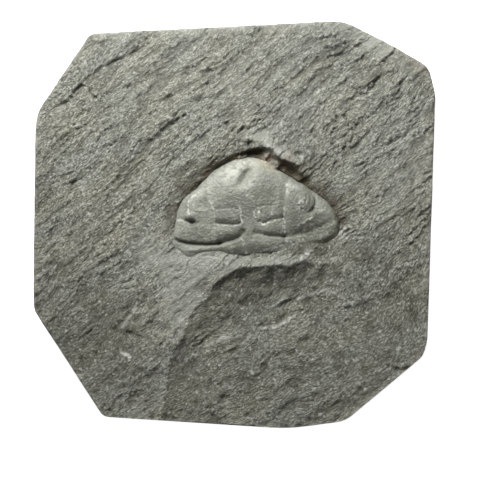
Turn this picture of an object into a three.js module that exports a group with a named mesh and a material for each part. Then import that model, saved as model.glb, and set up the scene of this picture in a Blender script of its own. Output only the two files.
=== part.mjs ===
// A trimmed slab of grey-green slate with the head shield of a phacopid trilobite lying in it.
// Units are millimetres. +Z is up, the slab rests on its flat underside at z = 0 and the origin is
// the middle of that underside. +Y points the way the front of the head shield points.

import * as THREE from "three";

// Driving dimensions
const SLAB_TOP = 9; // general level of the split face
const ARRIS_DROP = 0.35; // worn edge between the split face and the sides
const ARRIS_WIDTH = 0.45;
const FOOT_CHAMFER = 0.4;
const POCKET_FLOOR = 6; // the stone ends here under the head shield
const SEAT_GAP = 0.3; // open seam between the head shield and its pocket
const HEAD_BASE = 0.3; // shell level above SLAB_TOP before the swells are added
const RIM_FRONT = -1; // rim of the shell against SLAB_TOP, sunk in the trench in front
const RIM_BACK = -0.25;
const RIM_ROUND = 0.8; // distance over which the shell curves up from its rim
const TRENCH_DEPTH = 1.4; // trench worked out in front of the shell
const STREAK_HEIGHT = 0.06; // long low ridges along the cleavage grain
const STREAK_ANGLE = 38; // degrees, rising to the right

// Facets
const SLAB_RINGS = 19;
const SLAB_RING_GROWTH = 1.35; // rings are close together at the pocket and spread outwards
const HEAD_SECTORS = 104;
const HEAD_RINGS = 14;
const LONGEST_SIDE_STEP = 1.6;
const CORNER_STEPS = 2;
const PATH_STEPS = 5; // pieces between two points of a smooth path

// Both pieces are built round this axis, which runs up through the middle of the head shield.
const HUB = [2.6, 0.4];

// Slab outline, anticlockwise from the top left: corner x, corner y, length rounded off each side
const SLAB_CORNERS = [
  [-18.05, 23.9, 0.8],
  [-24.55, 14.2, 1],
  [-24.9, 12.2, 0.9],
  [-25.15, -8, 2],
  [-25.1, -10.7, 0.5],
  [-16.4, -24.05, 0.7],
  [0.5, -24.95, 2.8],
  [6.2, -25.6, 2.7],
  [13.9, -24.6, 1.2],
  [18.7, -20.5, 1.6],
  [23.6, -16.5, 0.7],
  [24.15, -14.6, 0.8],
  [25.16, 16.2, 1],
  [24.35, 19.7, 1.1],
  [19.2, 22.7, 2],
  [13.6, 25.5, 1.5],
];

// Head shield outline, clockwise from the left genal corner over the front of the glabella
const HEAD_OUTLINE = [
  [-7.7, -2.1], [-7.45, -0.8], [-7.2, 0.5], [-7.15, 1.4], [-6.7, 2.6], [-5.9, 3.7],
  [-4.9, 4.35], [-3.9, 5.5], [-2.8, 6.6], [-1.6, 7.4], [-0.4, 7.95], [0.95, 8.3],
  [2, 8.45], [3.4, 8.2], [4.6, 7.5], [6.3, 6.5], [8.1, 5.4], [9.8, 4.3],
  [11.4, 3.1], [12.4, 1.8], [13, 0.5], [13.2, -0.6], [12.85, -1.4], [12.1, -1.95],
  [10.7, -2.35], [8.85, -2.3], [7, -2.45], [6.1, -2.95], [4.7, -3.4], [2.5, -3.6],
  [1.1, -3.75], [-0.6, -3.7], [-1.6, -3.35], [-3, -3.35], [-4.7, -3.65], [-5.6, -4.05],
  [-6.25, -3.8], [-6.8, -3.2], [-7.55, -2.75],
];

// Grooves of the head shield: half widths on the left and on the right of the path
const GROOVES = [
  {
    name: "left first furrow", depth: 0.55, left: 0.6, right: 0.2,
    path: [
      [0.95, 0.45], [0.7, 0.12], [0.2, 0], [-0.6, 0.06], [-1.6, 0.2], [-2.5, 0.3],
    ],
  },
  {
    name: "right first furrow", depth: 0.36, left: 0.4, right: 0.22,
    path: [
      [6.1, 1.25], [5.2, 0.82], [4.2, 0.44], [3.5, 0.25], [3, 0.55],
    ],
  },
  {
    name: "left second furrow", depth: 0.12, left: 0.24, right: 0.16,
    path: [
      [0.4, 1.9], [-0.8, 2.1], [-2.3, 1.85],
    ],
  },
  {
    name: "right second furrow", depth: 0.16, left: 0.24, right: 0.16,
    path: [
      [4.9, 2.35], [4.2, 2.4], [3, 2.15],
    ],
  },
  {
    name: "left neck furrow", depth: 0.4, left: 0.5, right: 0.3,
    path: [
      [1.5, -1.2], [1, -1.45], [0.5, -1.75], [-0.6, -2.1], [-1.9, -2.3],
    ],
  },
  {
    name: "right neck furrow", depth: 0.4, left: 0.5, right: 0.3,
    path: [
      [6.2, -1.4], [5.2, -1.5], [4.4, -1.45], [3.2, -1.25], [2.2, -1.12],
    ],
  },
  {
    name: "left border furrow", depth: 0.75, left: 0.8, right: 0.2,
    path: [
      [-1, -2.45], [-1.9, -2.5], [-3, -2.55], [-4.4, -2.55], [-5.6, -2.45], [-6.6, -2.2], [-7.3, -1.8],
    ],
  },
  {
    name: "right border furrow", depth: 0.5, left: 0.55, right: 0.5,
    path: [
      [12.2, 0.1], [11.3, -0.2], [10.3, -0.6], [9.3, -0.95], [8.3, -1.2], [7.2, -1.45],
    ],
  },
  {
    name: "left axial furrow", depth: 0.3, left: 0.5, right: 0.5,
    path: [
      [-3.7, 4.6], [-3.4, 3.4], [-3.1, 2.2], [-2.8, 1], [-2.7, 0], [-2.45, -1.2],
    ],
  },
  {
    name: "right axial furrow", depth: 0.42, left: 0.3, right: 0.5,
    path: [
      [6.9, 6.2], [6.5, 4.9], [6.3, 3.4], [6.15, 2.3], [6.2, 1], [6.35, -0.8],
    ],
  },
  {
    name: "crease of the front lobe", depth: 0.4, left: 0.6, right: 0.45,
    path: [
      [2.35, 6.7], [1.8, 6], [1.1, 5.3], [0.5, 4.7],
    ],
  },
  {
    name: "furrow round the right eye", depth: 0.6, left: 0.5, right: 0.4,
    path: [
      [9.3, 4.35], [10, 3.75], [10.35, 2.9], [10.2, 2.1], [9.6, 1.5], [8.7, 1.2],
    ],
  },
];

// Raised and sunken forms of the head shield: middle, half length and half width, turn in degrees
const HEAD_SWELLS = [
  { name: "front lobe", at: [1, 4.9], size: [4, 3], turn: 8, height: 1.5 },
  { name: "back of the glabella", at: [1.9, 0.2], size: [4, 3.4], turn: 0, height: 0.75 },
  { name: "left first lobe", at: [-0.9, -0.9], size: [1.4, 0.7], turn: 8, height: 0.2 },
  { name: "right first lobe", at: [4.3, -0.4], size: [1.5, 0.7], turn: 8, height: 0.24 },
  { name: "left second lobe", at: [-0.9, 1], size: [1.3, 0.6], turn: 4, height: 0.18 },
  { name: "right second lobe", at: [4.3, 1.4], size: [1.3, 0.6], turn: 6, height: 0.12 },
  { name: "neck ring", at: [3.4, -2.3], size: [2.5, 0.8], turn: -3, height: 0.4 },
  { name: "left part of the neck ring", at: [-0.4, -2.95], size: [1.2, 0.5], turn: 4, height: 0.2 },
  { name: "right eye lobe", at: [8, 2.9], size: [1.2, 1.8], turn: 10, height: 0.95 },
  { name: "right cheek", at: [9, 0.4], size: [2.6, 1.1], turn: 12, height: 0.4 },
  { name: "right border", at: [9.6, -1.85], size: [3.2, 0.55], turn: 14, height: 0.35 },
  { name: "left eye lobe", at: [-4.7, 2.4], size: [1.3, 1.7], turn: -20, height: 0.75 },
  { name: "left eye hollow", at: [-4.1, 2.9], size: [0.7, 0.85], turn: -25, height: -0.35 },
  { name: "left eye stub", at: [-5.4, 1.2], size: [0.8, 0.42], turn: 0, height: 0.3 },
  { name: "hole under the left eye", at: [-5.5, 0.32], size: [0.6, 0.3], turn: -10, height: -1.1 },
  { name: "left cheek", at: [-5, -0.9], size: [2.4, 1], turn: -4, height: 0.5 },
  { name: "left border", at: [-4.8, -3.2], size: [2.6, 0.4], turn: 0, height: 0.28 },
];

// Broken edges of the stone: how far the bed falls on the left of the path, over what run, the lip
// along its crest, and the window in which it shows
const STEPS = [
  {
    name: "ledge under the head", drop: 1.25, run: 0.8, lip: 0.12,
    window: { at: [3, -7.8], size: [9.5, 6.5], turn: 10 },
    path: [
      [20, -3.6], [15, -4.5], [12, -4.7], [9.75, -4.9], [8.7, -4.6], [7.6, -4.8], [6.7, -5.1],
      [5.6, -4.95], [3.8, -5.15], [2, -5.35], [1.1, -5.25], [0.2, -5.6], [-0.5, -6.05], [-2.2, -7.2],
      [-3.4, -9.1], [-4.8, -10.4], [-5.8, -11.9], [-6.1, -13.1], [-6.8, -14.6], [-7.9, -16.1],
      [-8.3, -18.7], [-9.2, -24],
    ],
  },
  {
    name: "ledge of the left strip", drop: 0.6, run: 1.2, lip: 0.08,
    window: { at: [-5.8, -15], size: [5, 9], turn: -14 },
    path: [
      [0.2, -5.6], [-0.5, -6.05], [-2.2, -7.2], [-3.4, -9.1], [-4.8, -10.4], [-5.8, -11.9],
      [-6.1, -13.1], [-6.8, -14.6], [-7.9, -16.1], [-8.3, -18.7], [-9.2, -24],
    ],
  },
  {
    name: "flake", drop: 1.1, run: 0.25, lip: 0.2,
    window: { at: [4.2, 8.6], size: [4.6, 2.4], turn: -30 },
    path: [
      [11, 3.6], [9.6, 5.1], [8.7, 6], [8.06, 6.64], [7.44, 7.27], [6.65, 7.74], [5.84, 8.13],
      [5.09, 8.6], [4.78, 9.14], [4.46, 9.4], [4.09, 9.75], [3.59, 9.2], [2.96, 9.06], [1.96, 9.24],
      [0.71, 9.56], [-1, 9.7], [-3, 9.9],
    ],
  },
  {
    name: "plate", drop: 0.35, run: 0.3, lip: 0.05,
    window: { at: [-12.8, -12.4], size: [2.2, 2.2], turn: 0 },
    path: [
      [-11.2, -9.2], [-12.2, -10.4], [-13.2, -11.8], [-13.9, -12.8], [-14.4, -13.9],
    ],
  },
  {
    name: "lower bedding step", drop: 0.22, run: 0.3, lip: 0.04,
    window: { at: [5.5, -11], size: [3.5, 2.5], turn: 25 },
    path: [
      [12, -7.2], [9, -8.6], [6.6, -9.3], [4.7, -10.3], [2, -12.4], [-1, -13.6],
    ],
  },
];

// Rises and dips of the stone
const STONE_SWELLS = [
  { name: "north-west rise", at: [-13, 12], size: [13, 4.5], turn: 38, height: 0.28 },
  { name: "north-east rise", at: [13, 13], size: [11, 4.5], turn: 46, height: 0.22 },
  { name: "slope into the head", at: [-9.8, 2], size: [2.6, 5.5], turn: -24, height: -0.4 },
  { name: "strip below the head", at: [-8.6, -11], size: [2.6, 9], turn: -28, height: 0.4 },
  { name: "shelf below the head", at: [3, -4.4], size: [9, 1.2], turn: 0, height: 0.12 },
  { name: "lower left fall", at: [-20, -15], size: [9, 7], turn: 30, height: -0.5 },
  { name: "lower right dip", at: [16, -13], size: [10, 6], turn: 25, height: -0.2 },
  { name: "mound of the flake", at: [6.4, 9.2], size: [2.4, 0.8], turn: -36, height: 0.45 },
  { name: "mound before the flake", at: [2.9, 11.3], size: [2.2, 1.4], turn: -5, height: 0.3 },
];

const SLATE = { color: 0x7f8177, roughness: 0.92, metalness: 0 };
const SHIELD = { color: 0x989c94, roughness: 0.62, metalness: 0 };

// Small maths

const { degToRad, lerp, smoothstep } = THREE.MathUtils;
const bell = (t) => Math.exp(-t * t);
const sumOf = (forms, height, x, y) => forms.reduce((sum, form) => sum + height(form, x, y), 0);

function curveThrough(points, closed) {
  const places = points.map(([x, y]) => new THREE.Vector3(x, y, 0));
  return new THREE.CatmullRomCurve3(places, closed, "centripetal");
}

const flat = (points) => points.map(({ x, y }) => [x, y]);
const smoothPath = (path) => flat(curveThrough(path, false).getPoints((path.length - 1) * PATH_STEPS));

// Distance to a path, and how squarely the place lies on the path's left: 1, or -1 on its right.
function nearest(path, x, y) {
  let best = { away: Infinity, side: 0 };
  for (let k = 0; k < path.length - 1; k++) {
    const [ax, ay] = path[k];
    const [bx, by] = path[k + 1];
    const length = Math.hypot(bx - ax, by - ay);
    const [dx, dy] = [(bx - ax) / length, (by - ay) / length];
    const along = Math.min(length, Math.max(0, (x - ax) * dx + (y - ay) * dy));
    const [ox, oy] = [x - ax - dx * along, y - ay - dy * along];
    const away = Math.hypot(ox, oy);
    if (away < best.away) best = { away, side: (dx * oy - dy * ox) / Math.max(away, 1e-9) };
  }
  return best;
}

function swellHeight({ at, size, turn = 0, height = 1 }, x, y) {
  const [c, s] = [Math.cos(degToRad(turn)), Math.sin(degToRad(turn))];
  const [u, v] = [(x - at[0]) * c + (y - at[1]) * s, (y - at[1]) * c - (x - at[0]) * s];
  return height * bell(Math.hypot(u / size[0], v / size[1]));
}

function grooveDepth({ smooth, depth, left, right }, x, y) {
  const { away, side } = nearest(smooth, x, y);
  return depth * bell(away / lerp(right, left, (side + 1) / 2));
}

// A bed of stone broken off along a path: it falls away on the path's left, inside a window.
function stepHeight({ smooth, drop, run, lip, window }, x, y) {
  const { away, side } = nearest(smooth, x, y);
  const past = away * side;
  const fall = drop * (1 - Math.exp(-Math.max(past, 0) / run));
  return swellHeight(window, x, y) * (lip * bell((past + 0.25) / 0.45) - fall);
}

// Outlines

const headEdge = flat(curveThrough(HEAD_OUTLINE, true).getSpacedPoints(HEAD_SECTORS)).slice(0, -1);
const headLoop = [...headEdge, headEdge[0]];

// The slab's corners, each rounded by a curve that starts and ends on its two sides.
function slabOutline() {
  const corner = (k) => new THREE.Vector2(...SLAB_CORNERS[(k + SLAB_CORNERS.length) % SLAB_CORNERS.length]);
  const edge = [];
  SLAB_CORNERS.forEach(([, , round], k) => {
    const here = corner(k);
    const from = corner(k - 1).sub(here).setLength(round).add(here);
    const to = corner(k + 1).sub(here).setLength(round).add(here);
    edge.push(...new THREE.QuadraticBezierCurve(from, here, to).getPoints(CORNER_STEPS));
    const nextRound = SLAB_CORNERS[(k + 1) % SLAB_CORNERS.length][2];
    const next = here.clone().sub(corner(k + 1)).setLength(nextRound).add(corner(k + 1));
    const steps = Math.ceil(to.distanceTo(next) / LONGEST_SIDE_STEP);
    for (let s = 1; s < steps; s++) edge.push(to.clone().lerp(next, s / steps));
  });
  return flat(edge);
}

const slabEdge = slabOutline();

// Where the ray from the hub towards a point leaves the head shield, pushed on by the seam's gap.
function pocketEdge([x, y]) {
  const reach = Math.hypot(x - HUB[0], y - HUB[1]);
  const [dx, dy] = [(x - HUB[0]) / reach, (y - HUB[1]) / reach];
  for (let k = 0; k < headEdge.length; k++) {
    const [ax, ay] = headLoop[k];
    const [ex, ey] = [headLoop[k + 1][0] - ax, headLoop[k + 1][1] - ay];
    const cross = dx * ey - dy * ex;
    const distance = ((ax - HUB[0]) * ey - (ay - HUB[1]) * ex) / cross;
    const share = ((ax - HUB[0]) * dy - (ay - HUB[1]) * dx) / cross;
    if (distance > 0 && share >= 0 && share < 1) {
      const slant = Math.abs(cross) / Math.hypot(ex, ey);
      const out = distance + SEAT_GAP / Math.max(slant, 0.5);
      return [HUB[0] + dx * out, HUB[1] + dy * out];
    }
  }
  throw new Error("the head shield has to lie round the hub");
}

const between = (a, b, t) => [lerp(a[0], b[0], t), lerp(a[1], b[1], t)];

function inwards(point, distance) {
  return between(point, HUB, distance / Math.hypot(point[0] - HUB[0], point[1] - HUB[1]));
}

// Relief

for (const form of [...GROOVES, ...STEPS]) form.smooth = smoothPath(form.path);

function streaks(x, y) {
  const angle = degToRad(STREAK_ANGLE);
  const across = y * Math.cos(angle) - x * Math.sin(angle);
  const along = x * Math.cos(angle) + y * Math.sin(angle);
  const fine = Math.sin(across * 1.45 + 0.9 * Math.sin(along * 0.16));
  const broad = Math.sin(across * 0.78 + 1.3 * Math.sin(along * 0.11 + 2));
  return STREAK_HEIGHT * (fine + broad);
}

// The trench is widest and deepest on the upper left and ends in a narrow seam behind the shell.
function trenchDepth(x, y) {
  const { away } = nearest(headLoop, x, y);
  const front = smoothstep(y, -1.5, 3.5);
  const west = smoothstep(-x, -7, 3);
  const trench = TRENCH_DEPTH * front * lerp(0.45, 1, west) * bell(away / lerp(0.7, 1.35, west));
  return trench + 0.25 * bell(away / 0.5) * smoothstep(y, -4, -1);
}

function stoneHeight(x, y) {
  const beds = sumOf(STONE_SWELLS, swellHeight, x, y) + sumOf(STEPS, stepHeight, x, y) + streaks(x, y);
  return SLAB_TOP + beds - trenchDepth(x, y);
}

function shellHeight(x, y) {
  const { away } = nearest(headLoop, x, y);
  const relief = HEAD_BASE + sumOf(HEAD_SWELLS, swellHeight, x, y) - sumOf(GROOVES, grooveDepth, x, y);
  const rim = lerp(RIM_BACK, RIM_FRONT, smoothstep(y, -2, 4));
  return SLAB_TOP + lerp(rim, relief, 1 - Math.exp(-away / RIM_ROUND));
}

// Solids

// A lathe of rings round the hub, each ring pulled out to its own outline: rings[j](k) gives the
// place of sector k, and the first and last ring are single points.
function pulledLathe(rings, sectors) {
  const profile = rings.map((_, j) => new THREE.Vector2(Math.min(j, rings.length - 1 - j), j));
  const geometry = new THREE.LatheGeometry(profile, sectors);
  const { position } = geometry.attributes;
  for (let i = 0; i <= sectors; i++)
    rings.forEach((ring, j) => position.setXYZ(i * rings.length + j, ...ring(i % sectors)));
  geometry.computeVertexNormals();
  return geometry;
}

const level = ([x, y], z) => [x, y, z];

function slabGeometry() {
  const pocket = slabEdge.map(pocketEdge);
  const shoulder = slabEdge.map((point) => inwards(point, ARRIS_WIDTH));
  const rings = [() => level(HUB, 0), (k) => level(inwards(slabEdge[k], FOOT_CHAMFER), 0)];
  rings.push((k) => level(slabEdge[k], FOOT_CHAMFER));
  rings.push((k) => level(slabEdge[k], stoneHeight(...slabEdge[k]) - ARRIS_DROP));
  for (let ring = SLAB_RINGS; ring >= 0; ring--) {
    const share = (ring / SLAB_RINGS) ** SLAB_RING_GROWTH;
    rings.push((k) => {
      const at = between(pocket[k], shoulder[k], share);
      return level(at, stoneHeight(...at));
    });
  }
  rings.push((k) => level(pocket[k], POCKET_FLOOR), () => level(HUB, POCKET_FLOOR));
  return pulledLathe(rings, slabEdge.length);
}

function shellGeometry() {
  const clockwise = (k) => headEdge[(HEAD_SECTORS - k) % HEAD_SECTORS];
  const under = POCKET_FLOOR + SEAT_GAP;
  const rings = [() => level(HUB, under), (k) => level(clockwise(k), under)];
  for (let ring = HEAD_RINGS; ring > 0; ring--)
    rings.push((k) => {
      const at = between(HUB, clockwise(k), ring / HEAD_RINGS);
      return level(at, shellHeight(...at));
    });
  rings.push(() => level(HUB, shellHeight(...HUB)));
  return pulledLathe(rings, HEAD_SECTORS);
}

function piece(name, geometry, finish) {
  const mesh = new THREE.Mesh(geometry, new THREE.MeshStandardMaterial(finish));
  mesh.name = name;
  return mesh;
}

const specimen = new THREE.Group();
specimen.add(piece("matrix_slab", slabGeometry(), SLATE), piece("head_shield", shellGeometry(), SHIELD));

export default specimen;
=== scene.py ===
# %% [markdown]
# # A trilobite's head in slate
#
# The object is a palm-sized piece of split slate with the head shield of a phacopid trilobite in it.
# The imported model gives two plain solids, the slab and the head shield. This lesson puts a fine
# surface in the place of each: the same named forms as the solids have, then the grain of the stone
# and the wrinkles of the shell, which are too fine for a solid.

import math

import bpy
import numpy as np
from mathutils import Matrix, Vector
from mathutils.geometry import delaunay_2d_cdt


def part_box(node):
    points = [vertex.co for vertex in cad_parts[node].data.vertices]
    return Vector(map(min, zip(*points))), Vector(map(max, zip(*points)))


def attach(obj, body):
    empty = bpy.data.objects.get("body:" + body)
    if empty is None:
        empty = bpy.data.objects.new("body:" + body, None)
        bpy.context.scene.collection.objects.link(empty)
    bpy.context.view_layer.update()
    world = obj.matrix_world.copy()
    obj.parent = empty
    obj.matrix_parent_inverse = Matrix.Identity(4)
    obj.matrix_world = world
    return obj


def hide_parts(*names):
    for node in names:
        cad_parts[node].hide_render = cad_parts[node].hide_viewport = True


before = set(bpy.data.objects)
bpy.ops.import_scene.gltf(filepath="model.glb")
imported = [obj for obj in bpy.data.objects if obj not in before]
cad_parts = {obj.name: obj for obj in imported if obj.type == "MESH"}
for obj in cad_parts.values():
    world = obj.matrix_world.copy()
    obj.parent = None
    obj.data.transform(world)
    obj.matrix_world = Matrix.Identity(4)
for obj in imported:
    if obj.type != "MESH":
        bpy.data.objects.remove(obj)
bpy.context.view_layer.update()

# %% [markdown]
# Blender works in metres, and a fossil is easier to think about in millimetres. Every size below is
# in millimetres, and MM turns it into metres at the moment when a mesh, a lamp or the camera is made.

# %% Sizes and places
MM = 0.001
SLAB_TOP = 9.0  # general level of the split face
ARRIS_DROP = 0.35  # worn edge between the split face and the sides
FOOT_CHAMFER = 0.4
POCKET_FLOOR = 6.0  # the stone ends here under the head shield
SEAT_GAP = 0.3  # between that floor and the shield's flat underside
HEAD_BASE = 0.3  # shell level above SLAB_TOP before the swells are added
RIM_FRONT = -0.15  # rim of the shell against SLAB_TOP, where no trench lowers it further
RIM_BACK = 0.12
RIM_BACK_RIGHT = -0.4
RIM_ROUND = 0.8  # distance over which the shell curves up from its rim
RIM_ROUND_BACK = 0.3
STREAK_HEIGHT = 0.06  # long low ridges
STREAK_ANGLE = 38  # degrees, rising to the right
GRAIN_ANGLE = 41
SEAM = 0.02  # between the shell and the stone round it
FULL_DIRT_AND_SHADE = 1.25  # a trench as deep as this is all brown, brown stain and painted shade together
FULL_HOLLOW_SHADE = 0.12  # a pit as deep as this is all dark with painted shade
DIRT_AND_SHADE_FLOOR = 6.5  # the pocket's hidden floor lies below this and stays unmarked

slab_low, slab_high = (np.array(corner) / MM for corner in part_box("matrix_slab"))
print("slab in mm:", (slab_high - slab_low).round(2))

# %% [markdown]
# ## Outlines
#
# The slab was trimmed with a saw into an uneven octagon, and its corners have worn round. The head
# shield has a free outline. Both could be drawn as Blender curves and turned into meshes, but the
# relief needs to know how far each point lies from an outline, so the outlines stay lists of points
# that numpy can measure. A Catmull-Rom curve goes through the few points that the shape needs.

# %% Outline points
SLAB_CORNERS = [
    (-18.05, 23.9, 0.8), (-24.55, 14.2, 1), (-24.9, 12.2, 0.9), (-25.15, -8, 2),
    (-25.1, -10.7, 0.5), (-16.4, -24.05, 0.7), (0.5, -24.95, 2.8), (6.2, -25.6, 2.7),
    (13.9, -24.6, 1.2), (18.7, -20.5, 1.6), (23.6, -16.5, 0.7), (24.15, -14.6, 0.8),
    (25.16, 16.2, 1), (24.35, 19.7, 1.1), (19.2, 22.7, 2), (13.6, 25.5, 1.5),
]
HEAD_OUTLINE = [
    (-7.7, -2.1), (-7.45, -0.8), (-7.2, 0.5), (-7.15, 1.4), (-6.7, 2.6), (-5.9, 3.7),
    (-4.9, 4.35), (-3.9, 5.5), (-2.8, 6.6), (-1.6, 7.4), (-0.4, 7.95), (0.95, 8.3),
    (2, 8.45), (3.4, 8.2), (4.6, 7.5), (6.3, 6.5), (8.1, 5.4), (9.8, 4.3),
    (11.4, 3.1), (12.4, 1.8), (13, 0.5), (13.2, -0.6), (12.85, -1.4), (12.1, -1.95),
    (10.7, -2.35), (8.85, -2.3), (7, -2.45), (6.1, -2.95), (4.7, -3.4), (2.5, -3.6),
    (1.1, -3.75), (-0.6, -3.7), (-1.6, -3.35), (-3, -3.35), (-4.7, -3.65), (-5.6, -4.05),
    (-6.25, -3.8), (-6.8, -3.2), (-7.55, -2.75),
]

# %% Curves through points
def catmull_rom(points, closed=False, steps=6):
    """A centripetal Catmull-Rom curve through the points, with a few steps a span."""
    p = np.array(points, float)
    if closed:
        p = np.vstack([p[-1:], p, p[:2]])
    else:
        p = np.vstack([2 * p[0] - p[1], p, 2 * p[-1] - p[-2]])
    places = []
    for p0, p1, p2, p3 in zip(p, p[1:], p[2:], p[3:]):
        t1 = np.linalg.norm(p1 - p0) ** 0.5
        t2 = t1 + np.linalg.norm(p2 - p1) ** 0.5
        t3 = t2 + np.linalg.norm(p3 - p2) ** 0.5
        t = np.linspace(t1, t2, steps, endpoint=False)[:, None]
        a1 = (t1 - t) / t1 * p0 + t / t1 * p1
        a2 = (t2 - t) / (t2 - t1) * p1 + (t - t1) / (t2 - t1) * p2
        a3 = (t3 - t) / (t3 - t2) * p2 + (t - t2) / (t3 - t2) * p3
        b1 = (t2 - t) / t2 * a1 + t / t2 * a2
        b2 = (t3 - t) / (t3 - t1) * a2 + (t - t1) / (t3 - t1) * a3
        places.append((t2 - t) / (t2 - t1) * b1 + (t - t1) / (t2 - t1) * b2)
    return np.vstack(places + ([] if closed else [p[-2:-1]]))


# %% Even spacing and rounded corners
def spaced(loop, spacing):
    """The same closed loop with evenly spaced points."""
    ring = np.vstack([loop, loop[:1]])
    run = np.r_[0, np.cumsum(np.hypot(*np.diff(ring, axis=0).T))]
    at = np.linspace(0, run[-1], max(int(run[-1] / spacing), 3), endpoint=False)
    return np.c_[np.interp(at, run, ring[:, 0]), np.interp(at, run, ring[:, 1])]


def rounded_corners(corners, steps=6):
    """Straight sides joined by a quadratic curve at each corner."""
    loop = []
    for k, (x, y, size) in enumerate(corners):
        here = np.array([x, y])
        before = np.array(corners[k - 1][:2]) - here
        after = np.array(corners[(k + 1) % len(corners)][:2]) - here
        start = here + size * before / np.linalg.norm(before)
        end = here + size * after / np.linalg.norm(after)
        t = np.linspace(0, 1, steps)[:, None]
        loop.append((1 - t) ** 2 * start + 2 * t * (1 - t) * here + t ** 2 * end)
    return np.vstack(loop)


head_loop = spaced(catmull_rom(HEAD_OUTLINE, closed=True), 0.4)
slab_loop = rounded_corners(SLAB_CORNERS)
print("outline points:", len(head_loop), "round the head,", len(slab_loop), "round the slab")

# %% [markdown]
# ## Forms
#
# A relief is a height for each place. It could be sculpted by hand, but then nobody could say what
# was made. Here each furrow, lobe and broken edge is one named form with a place and a size, and the
# relief is their sum. A swell is a bell over an ellipse. A groove is a bell across a path, which may
# be steeper on one side. A step lets the ground fall away on the left of a path.

# %% Small maths
def lerp(a, b, t):
    """a where t is 0, b where it is 1."""
    return a + (b - a) * t


def smooth(x, low, high):
    """0 below low, 1 above high, and a soft rise between them."""
    t = np.clip((x - low) / (high - low), 0, 1)
    return t * t * (3 - 2 * t)


def bell(t):
    """1 where t is 0, less and less on both sides."""
    return np.exp(-t * t)


def nearest(path, x, y):
    """Distance to a path, and how squarely the place lies on its left: 1, or -1 on its right."""
    away = np.full(np.shape(x), np.inf)
    side = np.zeros(np.shape(x))
    for (ax, ay), (bx, by) in zip(path, path[1:]):
        length = math.hypot(bx - ax, by - ay)
        dx, dy = (bx - ax) / length, (by - ay) / length
        along = np.clip((x - ax) * dx + (y - ay) * dy, 0, length)
        ox, oy = x - ax - dx * along, y - ay - dy * along
        here = np.hypot(ox, oy)
        closer = here < away
        side = np.where(closer, (dx * oy - dy * ox) / np.maximum(here, 1e-9), side)
        away = np.where(closer, here, away)
    return away, side


def around(loop, x, y):
    """Distance to a closed loop."""
    return nearest(np.vstack([loop, loop[:1]]), x, y)[0]


# %% Swells, grooves and steps
LIP_BACK = 0.25  # the lip of a step stands this far behind its path
LIP_WIDTH = 0.45


def swell(at, size, turn, x, y):
    """A bell over an ellipse that is turned by some degrees."""
    c, s = math.cos(math.radians(turn)), math.sin(math.radians(turn))
    u = (x - at[0]) * c + (y - at[1]) * s
    v = (y - at[1]) * c - (x - at[0]) * s
    return bell(np.hypot(u / size[0], v / size[1]))


def swells(forms, x, y):
    """Sum of bells, each a name, place, size, turn and height."""
    return sum(height * swell(at, size, turn, x, y) for _, at, size, turn, height in forms)


def grooves(forms, x, y):
    """Sum of grooves, each a name, depth, left and right half width and path."""
    total = np.zeros(np.shape(x))
    for _, depth, left, right, path in forms:
        away, side = nearest(catmull_rom(path), x, y)
        total += depth * bell(away / lerp(right, left, (side + 1) / 2))
    return total


def steps(forms, x, y):
    """Sum of steps, each inside a window, with a raised lip and a fall on the path's left."""
    total = np.zeros(np.shape(x))
    for _, drop, run, lip, (at, size, turn), path in forms:
        away, side = nearest(catmull_rom(path), x, y)
        past = away * side
        fall = drop * (1 - np.exp(-np.maximum(past, 0) / run))
        total += swell(at, size, turn, x, y) * (lip * bell((past + LIP_BACK) / LIP_WIDTH) - fall)
    return total


# %% [markdown]
# The head shield: a swollen middle (the glabella) whose front lobe is the highest part, two cheeks
# with the eyes, and a ring and a border along the back. Three pairs of furrows cross the glabella.
# The sizes were read from the photograph against the slab's width.

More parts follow.
